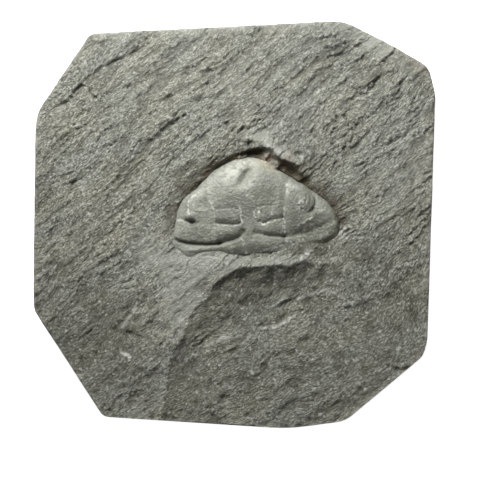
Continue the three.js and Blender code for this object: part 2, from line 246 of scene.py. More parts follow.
# %% Forms of the head shield: name, depth, half width left and right, path
HEAD_GROOVES = [
    ("left first furrow", 0.24, 0.12, 0.45,
     [(0.95, 0.45), (0.7, 0.12), (0.2, 0), (-0.6, 0.04), (-1.4, 0.08), (-2.1, 0.2)]),
    ("right first furrow", 0.18, 0.16, 0.3,
     [(6, 0.85), (5.2, 0.68), (4.6, 0.5), (3.6, 0.14), (3.1, 0.32)]),
    ("left second furrow", 0.06, 0.1, 0.3, [(0.7, 1.8), (-0.3, 2), (-1.3, 2), (-2.2, 1.8)]),
    ("right second furrow", 0.07, 0.1, 0.2, [(4.7, 2.37), (3.85, 2.37), (3, 2.1)]),
    ("left neck furrow", 0.38, 0.18, 0.5,
     [(1.2, -1), (0.95, -1.3), (0.45, -1.7), (-0.8, -2.15), (-1.8, -2.4)]),
    ("right neck furrow", 0.24, 0.16, 0.35,
     [(6.3, -1.55), (5.4, -1.52), (4.5, -1.45), (3.6, -1.27), (2.6, -1.1)]),
    ("left border furrow", 0.36, 0.16, 0.3,
     [(-1.8, -2.4), (-2.8, -2.57), (-4.5, -2.57), (-5.8, -2.45), (-7, -2.1), (-7.5, -1.9)]),
    ("right border furrow", 0.13, 0.3, 0.5,
     [(12.3, 0.4), (11.7, 0.05), (10.1, -0.7), (8.5, -1.1), (7.3, -1.4), (6.3, -1.55)]),
    ("left axial furrow", 0.16, 0.4, 0.5,
     [(-3.7, 4.6), (-3.4, 3.4), (-3.1, 2.2), (-2.8, 1), (-2.6, -0.2)]),
    ("right axial furrow", 0.2, 0.14, 0.5,
     [(7, 6.2), (6.6, 5.2), (6.45, 4.2), (6.3, 3), (6.2, 2), (6.25, 0.6)]),
    ("left end of the neck ring", 0.1, 0.25, 0.2, [(0.95, -1.6), (1.15, -2.4), (1.4, -3.3)]),
    ("right end of the neck ring", 0.16, 0.25, 0.3, [(6.3, -1.6), (6.5, -2.2), (6.1, -2.9)]),
    ("crack right of the glabella", 0.07, 0.09, 0.09, [(6.3, 0.7), (6.25, -0.4), (6.2, -1.3)]),
    ("notch under the right eye", 0.14, 0.25, 0.2, [(9.9, 1.9), (9.2, 1.5), (8.6, 1.9)]),
    ("inner edge of the right eye", 0.08, 0.1, 0.2, [(8.9, 4.3), (9.05, 3.4), (8.95, 2.5), (9.1, 1.9)]),
    ("arc of the right eye", 0.03, 0.1, 0.14, [(9.2, 4.1), (9.5, 3.3), (9.45, 2.5), (9.3, 2)]),
    ("edge of the crust", 0.2, 0.12, 0.14, [(4.5, 7.1), (5, 6.9), (5.5, 6.8)]),
    ("edge of the right eye", 0.2, 0.3, 0.16,
     [(8.9, 4.6), (9.6, 4), (10.05, 3.2), (10.05, 2.4), (9.7, 1.85)]),
    ("rim of the left eye", -0.08, 0.3, 0.14,
     [(-4.2, 4.2), (-5.2, 3.5), (-5.75, 2.6), (-5.85, 1.6)]),
    ("ridge behind the left eye", -0.06, 0.16, 0.1, [(-5.2, 1.72), (-4.3, 1.65), (-3.4, 1.7)]),
    ("ridge of the right cheek", -0.08, 0.3, 0.16, [(9.7, 0.85), (9, 0.42), (8.1, -0.15)]),
]
HEAD_SWELLS = [
    ("front lobe", (1, 4.9), (4, 3), 8, 1.5),
    ("dimple of the front lobe", (1.6, 6.2), (1.15, 0.6), 48, -0.82),
    ("hollow below the dimple", (1.1, 5.2), (0.9, 0.5), 25, -0.35),
    ("back of the glabella", (1.9, 0.2), (4, 3.4), 0, 0.6),
    ("left first lobe", (-0.9, -0.9), (1.4, 0.8), 8, 0.1),
    ("right first lobe", (4.3, -0.4), (1.5, 0.8), 8, 0.1),
    ("left second lobe", (-0.9, 1), (1.3, 0.8), 4, 0.08),
    ("right second lobe", (4.3, 1.4), (1.3, 0.8), 6, 0.06),
    ("neck ring", (3.5, -2.5), (2.3, 0.8), -3, 0.2),
    ("left part of the neck ring", (-0.4, -2.95), (1.2, 0.5), 4, 0.1),
    ("right eye lobe", (7.7, 3.3), (1.9, 2.4), 6, 0.62),
    ("knob of the right eye lobe", (7.5, 4.6), (0.8, 0.6), 0, 0.16),
    ("right cheek", (9, 0.4), (2.8, 1.4), 12, 0.2),
    ("fall of the right cheek", (9, -1.8), (4, 2.8), 15, -0.6),
    ("right border", (10, -1.3), (3.2, 0.7), 17, -0.04),
    ("left eye lobe", (-4.9, 2.2), (1.3, 1.7), -20, 0.55),
    ("left eye hollow", (-4.3, 2.5), (0.9, 0.8), -20, -0.34),
    ("left eye stub", (-5.6, 1.1), (0.7, 0.42), 0, 0.24),
    ("hole under the left eye", (-5.35, 0.3), (0.62, 0.28), -14, -0.62),
    ("left cheek", (-5, -0.8), (2.4, 1.4), -4, 0.33),
    ("left border", (-4.8, -3.2), (2.6, 0.4), 0, 0.14),
]
print(len(HEAD_GROOVES), "grooves and", len(HEAD_SWELLS), "swells on the shell")

# %% [markdown]
# The shell is marked as well: pale scratches and mineral veins along its cracks, pale skin with painted
# highlights on the front lobe and a few lit ridges, pale skin outside the right eye, painted shadow
# along the deepest furrows and cracks, and painted shade with some brown dirt on slopes turned from the
# lamp and in hollows.

# %% Marks of the shell: lines are strength, half width, path; spots are name, place, size, turn, strength
SHELL_LINES = [
    (1.2, 0.08, [(0.75, 2.2), (0.8, 1.3), (0.92, 0.5)]), (1, 0.07, [(4.8, 1.95), (4.78, 1.3)]),
    (0.7, 0.07, [(6.15, 2.6), (6.3, 1), (6.2, -0.3), (6.25, -1.2)]), (0.5, 0.14, [(6.45, 5), (6.5, 3.9)]),
    (0.5, 0.09, [(8.5, 0), (9, 0.4), (9.7, 0.9)]), (0.7, 0.12, [(10.8, 1.6), (11.35, 2)]),
    (0.5, 0.08, [(6.5, -2), (7.4, -2.3), (8.6, -2)]), (0.35, 0.08, [(9.4, -1), (10.6, -0.5), (11.8, 0.1)]),
    (0.8, 0.05, [(-5.7, 1.4), (-5.95, 2.4), (-5.5, 3.2)]), (0.35, 0.07, [(-5.4, 1.6), (-3.7, 1.58)]),
    (0.5, 0.09, [(-5.9, 1.2), (-5.75, 2.6), (-5.2, 3.5), (-4.6, 4)]),
    (0.6, 0.07, [(1.4, -3.56), (3.2, -3.38), (4.9, -3.06), (6, -2.66)]),
    (0.8, 0.08, [(0.95, -1.9), (1.15, -2.6), (1.4, -3.3)]),
    (1.8, 0.06, [(2.45, 1.2), (2.55, 1.65), (2.9, 1.75), (3.15, 1.4), (3, 1.05), (2.6, 1)]),
    (0.45, 0.07, [(-7.1, 0.45), (-6.4, 0.5), (-5.8, 0.05)]),
    # The mark on the next row and the first mark on the row after it are painted highlights on the lit lower
    # lips of the first furrows.
    (0.6, 0.06, [(3.1, 0.5), (3.6, 0), (4.6, 0.38), (5.9, 0.72)]),
    (0.2, 0.06, [(-2.1, 0.08), (-1.3, -0.08), (0.4, -0.08)]), (1, 0.1, [(1.5, 3.7), (1.9, 3.65), (2.2, 3.4)]),
    (0.8, 0.08, [(2.4, 2.9), (2.7, 2.5)]), (0.5, 0.06, [(-2.4, 1), (-2.5, 1.9), (-2.9, 2.8)]),
]
# Partly pale skin, partly painted highlight on slopes facing the lamp: the front lobe, its margin and left
# flank, the knob and the top of the neck ring.
SHELL_PALE_AND_HIGHLIGHTS = [
    ("front lobe, broad", (0.6, 6), (4, 2.4), 10, 0.3),
    ("front lobe, upper left", (0, 6.9), (2.2, 0.8), 32, 0.5),
    ("right of the dimple", (2.8, 6.3), (0.8, 0.5), 40, 0.15),
    ("front margin", (1.6, 7.6), (1.2, 0.5), 0, 0.5),
    ("spot on the glabella", (1.75, 3.65), (0.3, 0.14), -10, 1),
    ("left flank", (-3.6, 4.4), (1.2, 0.7), 55, 0.35),
    ("band left of the glabella", (-2.9, 2.3), (0.3, 1.6), 8, 0.7),
    ("below the dimple", (2.4, 4.9), (1.2, 0.6), 40, 0.35),
    ("knob", (7.4, 4.7), (0.9, 0.4), -15, 0.5),
    ("outside the right eye", (11.2, 2.1), (1.6, 0.75), -42, 0.2),
    ("foot of the right cheek", (7.2, -1.9), (1, 0.4), 10, 0.3),
    ("left border", (-5.2, -3.1), (1.6, 0.2), 0, 0.3),
    ("top of the neck ring", (4, -1.95), (2.4, 0.25), -3, 0.15),
]
# Painted shadow: near-black lines along the deepest furrows and cracks, where the relief is too fine to cast
# it.
SHELL_SLIT_SHADOWS = [
    (1, 0.08, [(-2.3, 0.21), (-1.54, 0.14), (-0.54, 0.06), (0.34, 0.06), (0.71, 0.26)]),
    (1, 0.11, [(-6.9, -2.13), (-5.8, -2.36), (-4.5, -2.42), (-3.3, -2.42), (-2.04, -2.45), (-1.8, -2.3)]),
    (0.7, 0.08, [(-1.54, -2.22), (-0.54, -1.96), (0.2, -1.72), (0.7, -1.4)]),
    (0.55, 0.07, [(3.3, 0.16), (4.5, 0.42), (5.6, 0.72), (6.2, 0.98)]),
    (0.5, 0.08, [(3.8, -1.22), (4.9, -1.38), (6.3, -1.5)]), (0.4, 0.14, [(1.3, -1.05), (2.7, -1.1)]),
    (0.35, 0.05, [(-2, 1.93), (-1.3, 2.06), (-0.54, 2.1), (0.46, 1.93)]),
    (0.35, 0.05, [(3.1, 2.1), (3.85, 2.35), (4.7, 2.37)]), (0.3, 0.05, [(2.6, 3.8), (3.8, 4.2), (4.6, 4.55)]),
    (0.3, 0.05, [(-1.2, 3.8), (-0.3, 4.1), (0.5, 4.55)]), (0.5, 0.06, [(9.95, 3.4), (10, 2.6), (9.75, 1.95)]),
    (0.45, 0.12, [(-6.1, 0.5), (-5.6, 0.35), (-4.9, 0.2)]),
    (0.45, 0.12, [(6.5, -2.3), (7, -2.15), (7.4, -2.25)]),
    (0.4, 0.1, [(5.6, -2.6), (6.2, -2.35)]),
]
# Mostly painted shade: on lobes and cheeks that face away from the lamp, in the dimple and the hole, at the
# foot of the neck ring and along the falling right margin; a little is brown dirt and the right eye's darker
# surface.
SHELL_DIRT_AND_SHADE = [
    ("right cheek, broad", (9.6, -0.2), (3.4, 1.9), 12, 0.7),
    ("right corner", (11.4, -0.7), (2.2, 1.8), 30, 1.7),
    ("dimple", (1.7, 6.2), (1, 0.45), 48, 1),
    ("right of the front lobe", (3.8, 4.9), (2.2, 1.3), -20, 0.6),
    ("below the dimple", (0.9, 5.4), (0.9, 0.4), 25, 0.8),
    ("right eye", (9.45, 2.95), (0.5, 1.4), 6, 1.1), ("right border", (10.8, -1.2), (2.6, 0.8), 17, 0.6),
    ("below the right eye", (9.2, 1.75), (0.4, 0.3), 0, 1),
    ("right cheek", (8.4, -0.5), (1, 0.5), 20, 0.4),
    ("left second lobe", (-0.8, 0.5), (1.5, 0.4), 0, 0.55),
    ("left first lobe", (-0.6, -1.5), (1.6, 0.5), -8, 0.6),
    ("left cheek, broad", (-2.6, -1.2), (2.8, 0.9), -4, 0.5),
    ("left cheek, low", (-4.5, -2), (2, 0.4), 0, 0.5),
    ("hollow of the left eye", (-4.3, 2.2), (0.8, 0.4), 0, 0.4),
    ("hole", (-5.3, 0.3), (0.7, 0.35), -14, 1),
    ("pits of the neck ring", (-0.2, -3), (1.5, 0.6), 4, 1),
    ("foot of the neck ring", (3.6, -2.9), (2.6, 0.5), 6, 0.4),
    ("neck ring", (3.2, -2.3), (2.6, 0.6), 0, 0.55),
    ("right border, low", (9.8, -1.8), (3, 0.6), 14, 1), ("left cheek", (-5, -0.6), (2.2, 0.9), 0, 0.7),
    ("rim of the left eye", (-5.7, 2.2), (0.8, 2), -15, 0.4),
]
print(len(SHELL_LINES + SHELL_SLIT_SHADOWS), "lines and", len(SHELL_PALE_AND_HIGHLIGHTS + SHELL_DIRT_AND_SHADE), "spots on the shell")


# %% [markdown]
# The stone: beds of slate broken off one over the other. The upper bed ends below the head in a
# small sharp ledge with a long slope under it. A flake hangs over the front of the trench, with some
# rusty stone left on the shell beneath it, and the whole face rises and dips a little.

# %% Paths of the stone's broken edges; the low side is on the left
LEDGE_LEFT = [
    (0.2, -5.6), (-0.5, -6.05), (-2.2, -7.2), (-3.4, -9.1), (-4.8, -10.4), (-5.8, -11.9),
    (-6.1, -13.1), (-6.8, -14.6), (-7.9, -16.1), (-8.3, -18.7), (-9.2, -24),
]
LEDGE_RIGHT = [
    (20, -3.6), (15, -4.5), (12, -4.7), (9.75, -4.9), (8.7, -4.6), (7.6, -4.8), (6.7, -5.1),
    (5.6, -4.95), (3.8, -5.15), (2, -5.35), (1.1, -5.25),
]
FLAKE_EDGE = [
    (11, 3.6), (9.8, 5), (8.9, 5.8), (8.2, 6.4), (7.95, 7.1), (7.3, 7.7), (6.4, 7.95),
    (5.7, 8.3), (5.2, 8.8), (4.75, 9.25), (4.3, 9.55), (3.7, 9.62), (2.9, 9.5),
    (1.85, 9.35), (0.7, 9.05), (-0.6, 8.6), (-1.6, 8.05), (-2.8, 7.2), (-4, 6.1), (-6, 4.6),
]
print("the ledge has", len(LEDGE_RIGHT + LEDGE_LEFT), "points, the flake", len(FLAKE_EDGE))

# %% Forms of the stone: steps are name, drop, run, lip, window, path
STONE_STEPS = [
    ("ledge under the head", 0.28, 0.25, 0.1, ((1, -7.8), (9, 6.5), 10), LEDGE_RIGHT + LEDGE_LEFT),
    ("slope below the ledge", 1.3, 3.8, 0, ((3, -7.8), (9.5, 6.5), 10), LEDGE_RIGHT + LEDGE_LEFT),
    ("ledge of the left strip", 0.6, 1.8, 0.08, ((-6.4, -17), (5, 8), -14), LEDGE_LEFT),
    ("plate", 0.4, 0.4, 0.05, ((-12.8, -11.6), (2, 2), 0),
     [(-14.3, -13.1), (-13.6, -12.2), (-12.9, -11.3), (-12.3, -10.3), (-11.2, -9)]),
    ("lower bedding step", 0.22, 0.3, 0.04, ((5.5, -11), (3.5, 2.5), 25),
     [(12, -7.2), (9, -8.6), (6.6, -9.3), (4.7, -10.3), (2, -12.4), (-1, -13.6)]),
]
print(len(STONE_STEPS), "steps")

# %% Places that several functions need: middle, half length and half width, turn
CRUST = ((4.6, 7.85), (1.2, 0.8), -38)
CRUST_TOP = 0.15  # above SLAB_TOP
CORNER = ((12.2, -1.4), (3.6, 1.4), 25)
EYE_GRAINS = ((8.35, 2.65), (0.5, 0.8), -8)
EYE_SURFACE = ((8.85, 2.7), (1.15, 1.35), 0)
FRONT_STAIN = ((2.5, 7.6), (2, 0.6), 0)
print("crust before the shell at", CRUST[0])

# %% Gaps before the shell: name, place, size, turn, depth
GAPS = [
    ("before the front lobe", (2.4, 9.2), (1.5, 0.8), 2, 1.2),
    ("under the flake", (6.7, 7.1), (1.7, 0.85), -38, 0.95),
    ("run-out to the right", (9.3, 5), (1.8, 0.6), -42, 0.15),
    ("slope on the left", (-1.2, 7.9), (2.2, 0.9), 34, 0.5),
]
print(len(GAPS), "gaps")

# %% Ridges and lines: name, depth, half width left and right, path; below 0 it rises
STONE_RIDGES = [
    ("ridge before the flake", -0.16, 0.3, 0.4, [(3.4, 10.2), (1.6, 10.5), (0, 10.4)]),
    ("crest of the flake", -0.14, 0.3, 0.4, [(4, 9.9), (5, 9.6), (5.9, 9.1), (6.9, 8.6), (7.5, 8.1)]),
    ("thin flake edge", 0.09, 0.12, 0.3, [(4, 10.4), (2.6, 9.95), (1.2, 10.2), (-0.8, 10.3)]),
    ("bedding line", -0.14, 0.1, 0.3, [(8.2, -8.6), (6.6, -9.3), (5.4, -9.8), (4.7, -10.3)]),
    ("lower bedding line", -0.12, 0.1, 0.3, [(9.4, -10.6), (7, -10.9), (4.5, -11.9), (2.6, -12.8)]),
    ("short bedding line", -0.12, 0.1, 0.3, [(13.5, -7.1), (12, -7.1), (11.3, -7.3)]),
    ("streak behind the head", -0.35, 0.3, 0.3, [(12.6, -2), (13.2, -1.3), (13.8, -0.6)]),
    ("streak on the shelf", -0.14, 0.2, 0.3, [(9.1, -3.8), (8.4, -4.3), (7.8, -4.8)]),
    ("edge of the left strip", -0.16, 0.5, 0.9,
     [(-7, -5), (-9, -8), (-11.5, -12.5), (-14, -18), (-15.5, -22)]),
]
print(len(STONE_RIDGES), "ridges and lines")

# %% Marks of the stone, as for the shell; a tone above 0 is darker, below 0 brighter
STONE_RUST = [
    ("corner", (23.9, 19.6), (0.8, 1.3), 40, 1.6),
    ("edge of the corner", (20.5, 21.6), (2.4, 0.5), -38, 0.35),
    ("right edge", (25, 6), (0.35, 9), 0, 0.5),
    ("crust before the shell", (4.4, 8), (1, 0.7), -38, 0.75), ("flake", (6.6, 8.8), (1.6, 0.8), -40, 0.5),
    ("spot on the right edge", (22.9, -16.2), (0.5, 0.5), 0, 0.8),
    ("shell's front margin", (-2, 7.2), (2.4, 0.5), 40, 0.3),
]
STONE_SPECKS_AND_HIGHLIGHTS = [
    (3, 0.1, [(-14.2, -15.9), (-13.9, -16)]), (3, 0.1, [(-13.6, -16.2), (-13.4, -16.3)]),
    (4, 0.1, [(-13.2, -16.5), (-13.1, -16.8)]),
    (0.7, 0.14, [(-12.3, -10.3), (-13.1, -11.6), (-14, -12.8)]),
    (0.4, 0.1, [(-10.6, -11), (-11.2, -11.9), (-11.9, -12.2)]), (0.6, 0.2, [(-6.6, -12), (-7.6, -14.5)]),
    (1, 0.12, [(-3.35, -15.2), (-1.5, -14.1), (0.7, -13.9), (2, -13.95)]),
    (1.6, 0.09, [(4.8, -10.35), (5.9, -9.55), (6.6, -9.3)]),
    (1.1, 0.08, [(7.8, -9.3), (10.3, -8.6), (11.4, -8.1), (12.6, -8.6)]),
    (1.6, 0.09, [(3.4, -12.95), (5.1, -12.9), (6.2, -12.3), (7.4, -11.45), (8, -10.75)]),
    (1.6, 0.16, [(-18.7, 20.3), (-18.6, 19.9)]), (1.6, 0.16, [(-19.2, 5.6), (-19, 5.5)]),
    (0.7, 0.12, [(-15.6, -4.2), (-15.4, -4.4)]), (0.9, 0.13, [(-20.6, 15.2), (-20.4, 15)]),
    (1.2, 0.25, [(9.3, -3.5), (8.2, -4.3)]), (1.2, 0.4, [(12.7, -1.8), (13.7, -0.7)]),
    (0.4, 0.4, [(-7, -4.3), (-5.4, -4.7), (-3.5, -4.2), (-1, -4.4)]),
    (0.8, 0.1, [(8.1, 9.4), (8.8, 9.15), (9.4, 9.05)]),
    # painted highlight along the lit crest of the flake
    (0.65, 0.26, [(4, 9.9), (5, 9.6), (5.9, 9.1), (6.9, 8.6), (7.5, 8.1)]),
    (0.5, 0.14, [(1.6, -5.4), (4, -5.1), (6.4, -5)]),
    (0.5, 0.1, [(13.2, -7.1), (11.4, -7.3)]), (0.5, 0.12, [(16.9, -8.9), (14.6, -9.8), (12.8, -10.2)]),
]
# Most tones are painted light and shade: shadow under the flake, in the gap before the front lobe and at the
# feet of the neck ring and the right border, highlights on the flake's ridge, the mound, the strip and the
# shelf, and the top of the slab brighter than its bottom. A few follow the stone's own colour.
STONE_SHADE_AND_TONES = [
    ("flake", (6.2, 8.9), (1.9, 0.8), -40, -0.6), ("bright ridge", (4.9, 9.4), (1.1, 0.22), -38, -2.2),
    ("bright edge", (5.5, 8.85), (0.5, 0.4), -38, -1.2), ("under the flake", (6.9, 7), (1.8, 0.5), -38, 0.8),
    ("gap", (2.4, 9.1), (1.8, 0.4), 4, 1.5), ("right of the flake", (9.6, 7.4), (2.2, 1.6), -38, 0.4),
    ("right of the head", (12.2, 3.4), (2.6, 1.6), -50, 0.8), ("left of the head", (-8, 0.6), (0.9, 2), 0, 1),
    ("left of the front", (-5.6, 5), (2.6, 0.8), 45, 1), ("foot of the ring", (3.4, -4), (2.6, 0.3), 4, 1.2),
    ("foot of the right border", (9.4, -3.2), (3, 0.7), 8, 0.9),
    ("east of the shelf", (14.6, -3.4), (2.4, 1.2), 0, 0.5),
    ("mound before the flake", (3, 11.1), (1.9, 0.9), 0, -1.3),
    ("notch of the plate", (-12.8, -13.4), (1.3, 0.5), -15, 0.8),
    ("spot", (1.9, 10.2), (0.5, 0.2), 0, 0.8), ("strip", (-7, -9), (2.6, 6.5), -25, -0.9),
    ("top right edge", (17, 23), (5, 1.2), -28, -1.2), ("top edge", (-2, 24.6), (14, 0.8), 3, -0.5),
    ("lower left", (-18, -15), (8, 8), 0, 0.8), ("left edge", (-24, 2), (4, 10), 0, 0.3),
    ("bottom", (3, -20), (16, 8), 0, 0.6), ("lower right", (15, -13), (9, 8), 0, 0.25),
    ("right", (19, 3), (6, 9), 0, -0.3), ("top", (2, 17), (16, 6), 0, -0.2),
    ("below the ledge", (4.5, -7.6), (7, 2), 8, 0.75), ("bright shelf", (1, -4.6), (6, 1), 4, -1.6),
    ("below the left cheek", (-4, -4.8), (4.4, 1.4), 0, -1.4),
    ("dark shelf", (9.6, -3.6), (2.2, 0.9), -5, 0.9),
    ("right low", (20, -8), (6, 8), 0, 0.5), ("below the ledge's corner", (0.8, -9), (3, 2), 45, 0.7),
    ("below the ledge's left end", (-2.8, -11.6), (1.6, 2.2), 0, 0.5),
    ("left of the genal corner", (-9.5, -3), (2.4, 2), 0, -0.8),
    ("bright top edge", (2, 20), (20, 6), 0, -0.15), ("round the head", (-5, 6.5), (4, 2), 35, 0.4),
]
print(len(STONE_RUST), "rusty,", len(STONE_SPECKS_AND_HIGHLIGHTS), "pale and", len(STONE_SHADE_AND_TONES), "toned places")

# %% Rises and dips of the stone: name, place, size, turn, height
STONE_SWELLS = [
    ("north-west rise", (-13, 12), (13, 4.5), 38, 0.28),
    ("north-east rise", (13, 13), (11, 4.5), 46, 0.22),
    ("slope into the head", (-9.8, 2), (2.6, 5.5), -24, -0.4),
    ("strip below the head", (-8.6, -11), (2.6, 9), -28, 0.4),
    ("shelf below the head", (3, -5), (9, 1.1), 0, 0.3),
    ("lower left fall", (-20, -15), (9, 7), 30, -0.5),
    ("lower right dip", (16, -13), (10, 6), 25, -0.2),
    ("mound of the flake", (6, 8.3), (2.3, 0.9), -38, 0.85),
    ("mound before the flake", (3.1, 10.5), (2, 1.2), 0, 0.45),
    ("pit beside the flake", (8.2, 8.8), (0.5, 0.3), 20, -0.45),
    ("slope right of the flake", (9.2, 8.6), (1.6, 1), -30, -0.2),
]
print(len(STONE_SWELLS), "rises and dips")

# %% Short gashes of the stone: drop, path with the low side on its left
GASHES = [
    (0.3, [(-20.9, 15.8), (-22.5, 14.7)]), (0.4, [(-17.6, 16.4), (-18.9, 17.7), (-20, 17), (-21, 15.8)]),
    (0.35, [(-11.5, 22.9), (-13, 21.6), (-15.1, 20.6), (-16.7, 19.8)]), (0.25, [(-17, 22.9), (-18.3, 22.5)]),
    (0.3, [(-14.4, 10.7), (-16, 9.9)]), (0.25, [(-19.3, 5.8), (-20.9, 5.3)]),
    (0.35, [(-5.9, 13.9), (-8.3, 12.8), (-9.5, 11.6)]), (0.25, [(-3, 16.2), (-4.4, 15.7)]),
    (0.25, [(-7.5, 16.4), (-9.2, 15.8)]), (0.25, [(-12.7, 17.7), (-14.8, 16.9)]),
    (0.25, [(-5.5, 19.1), (-6.9, 18.7)]), (0.3, [(14, 21.8), (12.5, 21.3), (11.1, 20.8)]),
    (0.5, [(18.6, 18.9), (17.9, 18.5), (17, 17.8)]), (0.55, [(17.1, 17.4), (16.4, 16.8), (15.2, 16.2)]),
    (0.35, [(20, 14.6), (19.2, 14.1)]), (0.3, [(21, 18.2), (20, 17.4)]), (0.25, [(14.7, 15), (13.6, 14)]),
    (0.3, [(22, -17.8), (20.9, -17.9), (20.1, -17.7)]), (0.15, [(17, -9.4), (15, -10.2), (12.6, -10.4)]),
    (0.2, [(-1.2, -12.3), (-2.2, -13), (-3, -13.6)]), (0.24, [(-12, -13.7), (-12.9, -13.4), (-13.9, -13.2)]),
    (0.15, [(-10.4, -11.2), (-11.2, -11.6), (-11.9, -11.4)]),
]
print(len(GASHES), "gashes")

# %% Places where the stone broke into crumbs: name, place, size, turn, share
CALM_ZONES = [
    ("shelf", (4, -4), (10, 1.6), 0, 0.9),
    ("before the head, on the left", (-2.5, 8), (3.6, 1.2), 38, 0.8),
    ("right of the shelf", (14.5, -5), (4, 3), 0, 0.8),
    ("left of the head", (-7.4, 3.2), (3.4, 2), 55, 0.9),
    ("above the ledge's left part", (-2.6, -5.6), (5, 2.2), 35, 0.9),
]
print(len(CALM_ZONES), "crumbled places")

# %% [markdown]
# ## Grain
#
# Slate splits along its cleavage and shows a lineation, here rising to the right at about 38
# degrees. Blender's noise textures can only shade or displace a finished mesh, so the grain comes
# from a small lattice noise in numpy: it moves the vertices themselves, and the same numbers tell the
# material where the hollows are. Two things make it look like slate rather than sand. The noise is
# stretched along the lineation, and part of it is a saw profile, a slow rise and a sharp fall, like
# the edges of thin broken flakes. Below the ledge and round the head the bed broke into crumbs, so
# the long flakes fade out there.

# %% Lattice noise
SCRAMBLE = (374761393, 668265263, 974634777, 1274126177)  # large odd numbers
LOW_16, LOW_32 = 0xFFFF, 0xFFFFFFFF  # masks for the lowest bits


def noise(u, v, seed):
    """Smooth noise from -1 to 1 with one bump about every unit."""
    def corner(i, j):
        n = (i * SCRAMBLE[0] + j * SCRAMBLE[1] + seed * SCRAMBLE[2]) & LOW_32
        n = ((n ^ (n >> 13)) * SCRAMBLE[3]) & LOW_32
        return ((n ^ (n >> 16)) & LOW_16) / (LOW_16 / 2) - 1
    i, j = np.floor(u).astype(np.int64), np.floor(v).astype(np.int64)
    s, t = smooth(u - i, 0, 1), smooth(v - j, 0, 1)
    low = lerp(corner(i, j), corner(i + 1, j), s)
    high = lerp(corner(i, j + 1), corner(i + 1, j + 1), s)
    return lerp(low, high, t)


def layered(u, v, seed, layers=3):
    """Noise with finer and weaker noise on top."""
    return sum(noise(u * 2 ** k, v * 2 ** k, seed + k) / 2 ** k for k in range(layers))


print("noise at three places:", noise(np.array([0.5, 1.5, 2.5]), np.zeros(3), 1).round(2))

# %% Flakes along the cleavage
WANDER = 0.5  # the lineation strays this far
WANDER_LENGTH = 6
WAVE_HEIGHT = 0.14  # small waves below the head
FAN = 0.2  # how fast the lineation fans out
FLAKE_SWAY = 1.1  # shares of a flake's pitch by which its edge strays
FLAKE_TEETH = 0.25


def grain_axes(x, y):
    """Places along and across the lineation, which wanders a little and fans out at the lower right."""
    u, v = x / WANDER_LENGTH, y / WANDER_LENGTH
    wx, wy = x + WANDER * noise(u, v, 5), y + WANDER * noise(u, v, 6)
    angle = math.radians(GRAIN_ANGLE)
    waves = WAVE_HEIGHT * np.sin(x / 1.3 + y / 3 + 2 * noise(x / 3, y / 3, 7)) * smooth(-y, 4, 10)
    fan = FAN * np.maximum(x + 5, 0) * smooth(-y, -2, 20)
    across = wy * math.cos(angle) - wx * math.sin(angle) + fan + waves
    return wx * math.cos(angle) + wy * math.sin(angle), across


def flakes(along, across, pitch, seed):
    """Saw profile across the grain: each flake rises slowly and ends in a sharp ragged edge."""
    phase = across / pitch + FLAKE_SWAY * noise(along / (4 * pitch), across / (1.5 * pitch), seed)
    phase = phase + FLAKE_TEETH * layered(along / (0.6 * pitch), across / (0.4 * pitch), seed + 3, 2)
    kept = smooth(noise(along / (3.2 * pitch), across / (1.1 * pitch), seed + 6), -0.1, 0.45)
    return kept * (0.5 - (phase - np.floor(phase)))


# %% Ragged paths, marks and gashes
RAGGED_LENGTH = 0.9  # from one tooth of a broken path to the next
LINE_SOFTNESS = 0.6  # below 1, so that a marked line fades beyond its half width
GASH_DEPTH = 1.35  # times the drop of each gash
GASH_REACH = 0.8  # the ground makes up for the drop over this distance
GASH_EDGE = 0.15
GASH_END = 0.6


def ragged(x, y, size):
    """The same places pushed about, so that a smooth path breaks like stone."""
    u, v = x / RAGGED_LENGTH, y / RAGGED_LENGTH
    return (x + size * layered(u, v, 11, 3), y + size * layered(u, v, 15, 3))


def marks(lines, x, y):
    """How strongly each place is marked by the nearest line, 0 to 1."""
    total = np.zeros(np.shape(x))
    for strength, width, path in lines:
        total = np.maximum(total, strength * bell(LINE_SOFTNESS * nearest(path, x, y)[0] / width))
    return total


def gashes(forms, x, y):
    """Short broken edges: a sudden drop on the left of a path that the ground soon makes up for."""
    total = np.zeros(np.shape(x))
    for drop, path in forms:
        away, side = nearest(path, x, y)
        past = away * side
        ends = np.minimum(*(np.hypot(x - px, y - py) for px, py in (path[0], path[-1])))
        fall = GASH_DEPTH * drop * smooth(past, 0, GASH_EDGE) * np.exp(-away / GASH_REACH)
        total -= fall * smooth(ends, 0, GASH_END)
    return total


# %% Height of the grain
FLAKE_SIZES = [(0.14, 2.5, 21), (0.19, 1.15, 31), (0.22, 0.6, 41)]  # height, pitch, seed
CRUMB_HEIGHT = 0.12
FIBRE_HEIGHT = 0.09
BAND_HEIGHT = 0.1  # long soft bands between the flakes


def below_ledge(x, y):
    """How far a place lies below the ledge; less than 0 on the upper bed."""
    away, side = nearest(catmull_rom(LEDGE_RIGHT + LEDGE_LEFT), *ragged(x, y, 0.1))
    return away * side


def calmness(x, y):
    """How far the stone broke into crumbs and not into long flakes, 0 to 1."""
    calm = np.maximum(smooth(below_ledge(x, y), 0, 1.5), 0.8 * smooth(-y, 7, 12) * smooth(x, -19, -13))
    for _, at, size, turn, share in CALM_ZONES:
        calm = np.maximum(calm, share * swell(at, size, turn, x, y))
    return calm


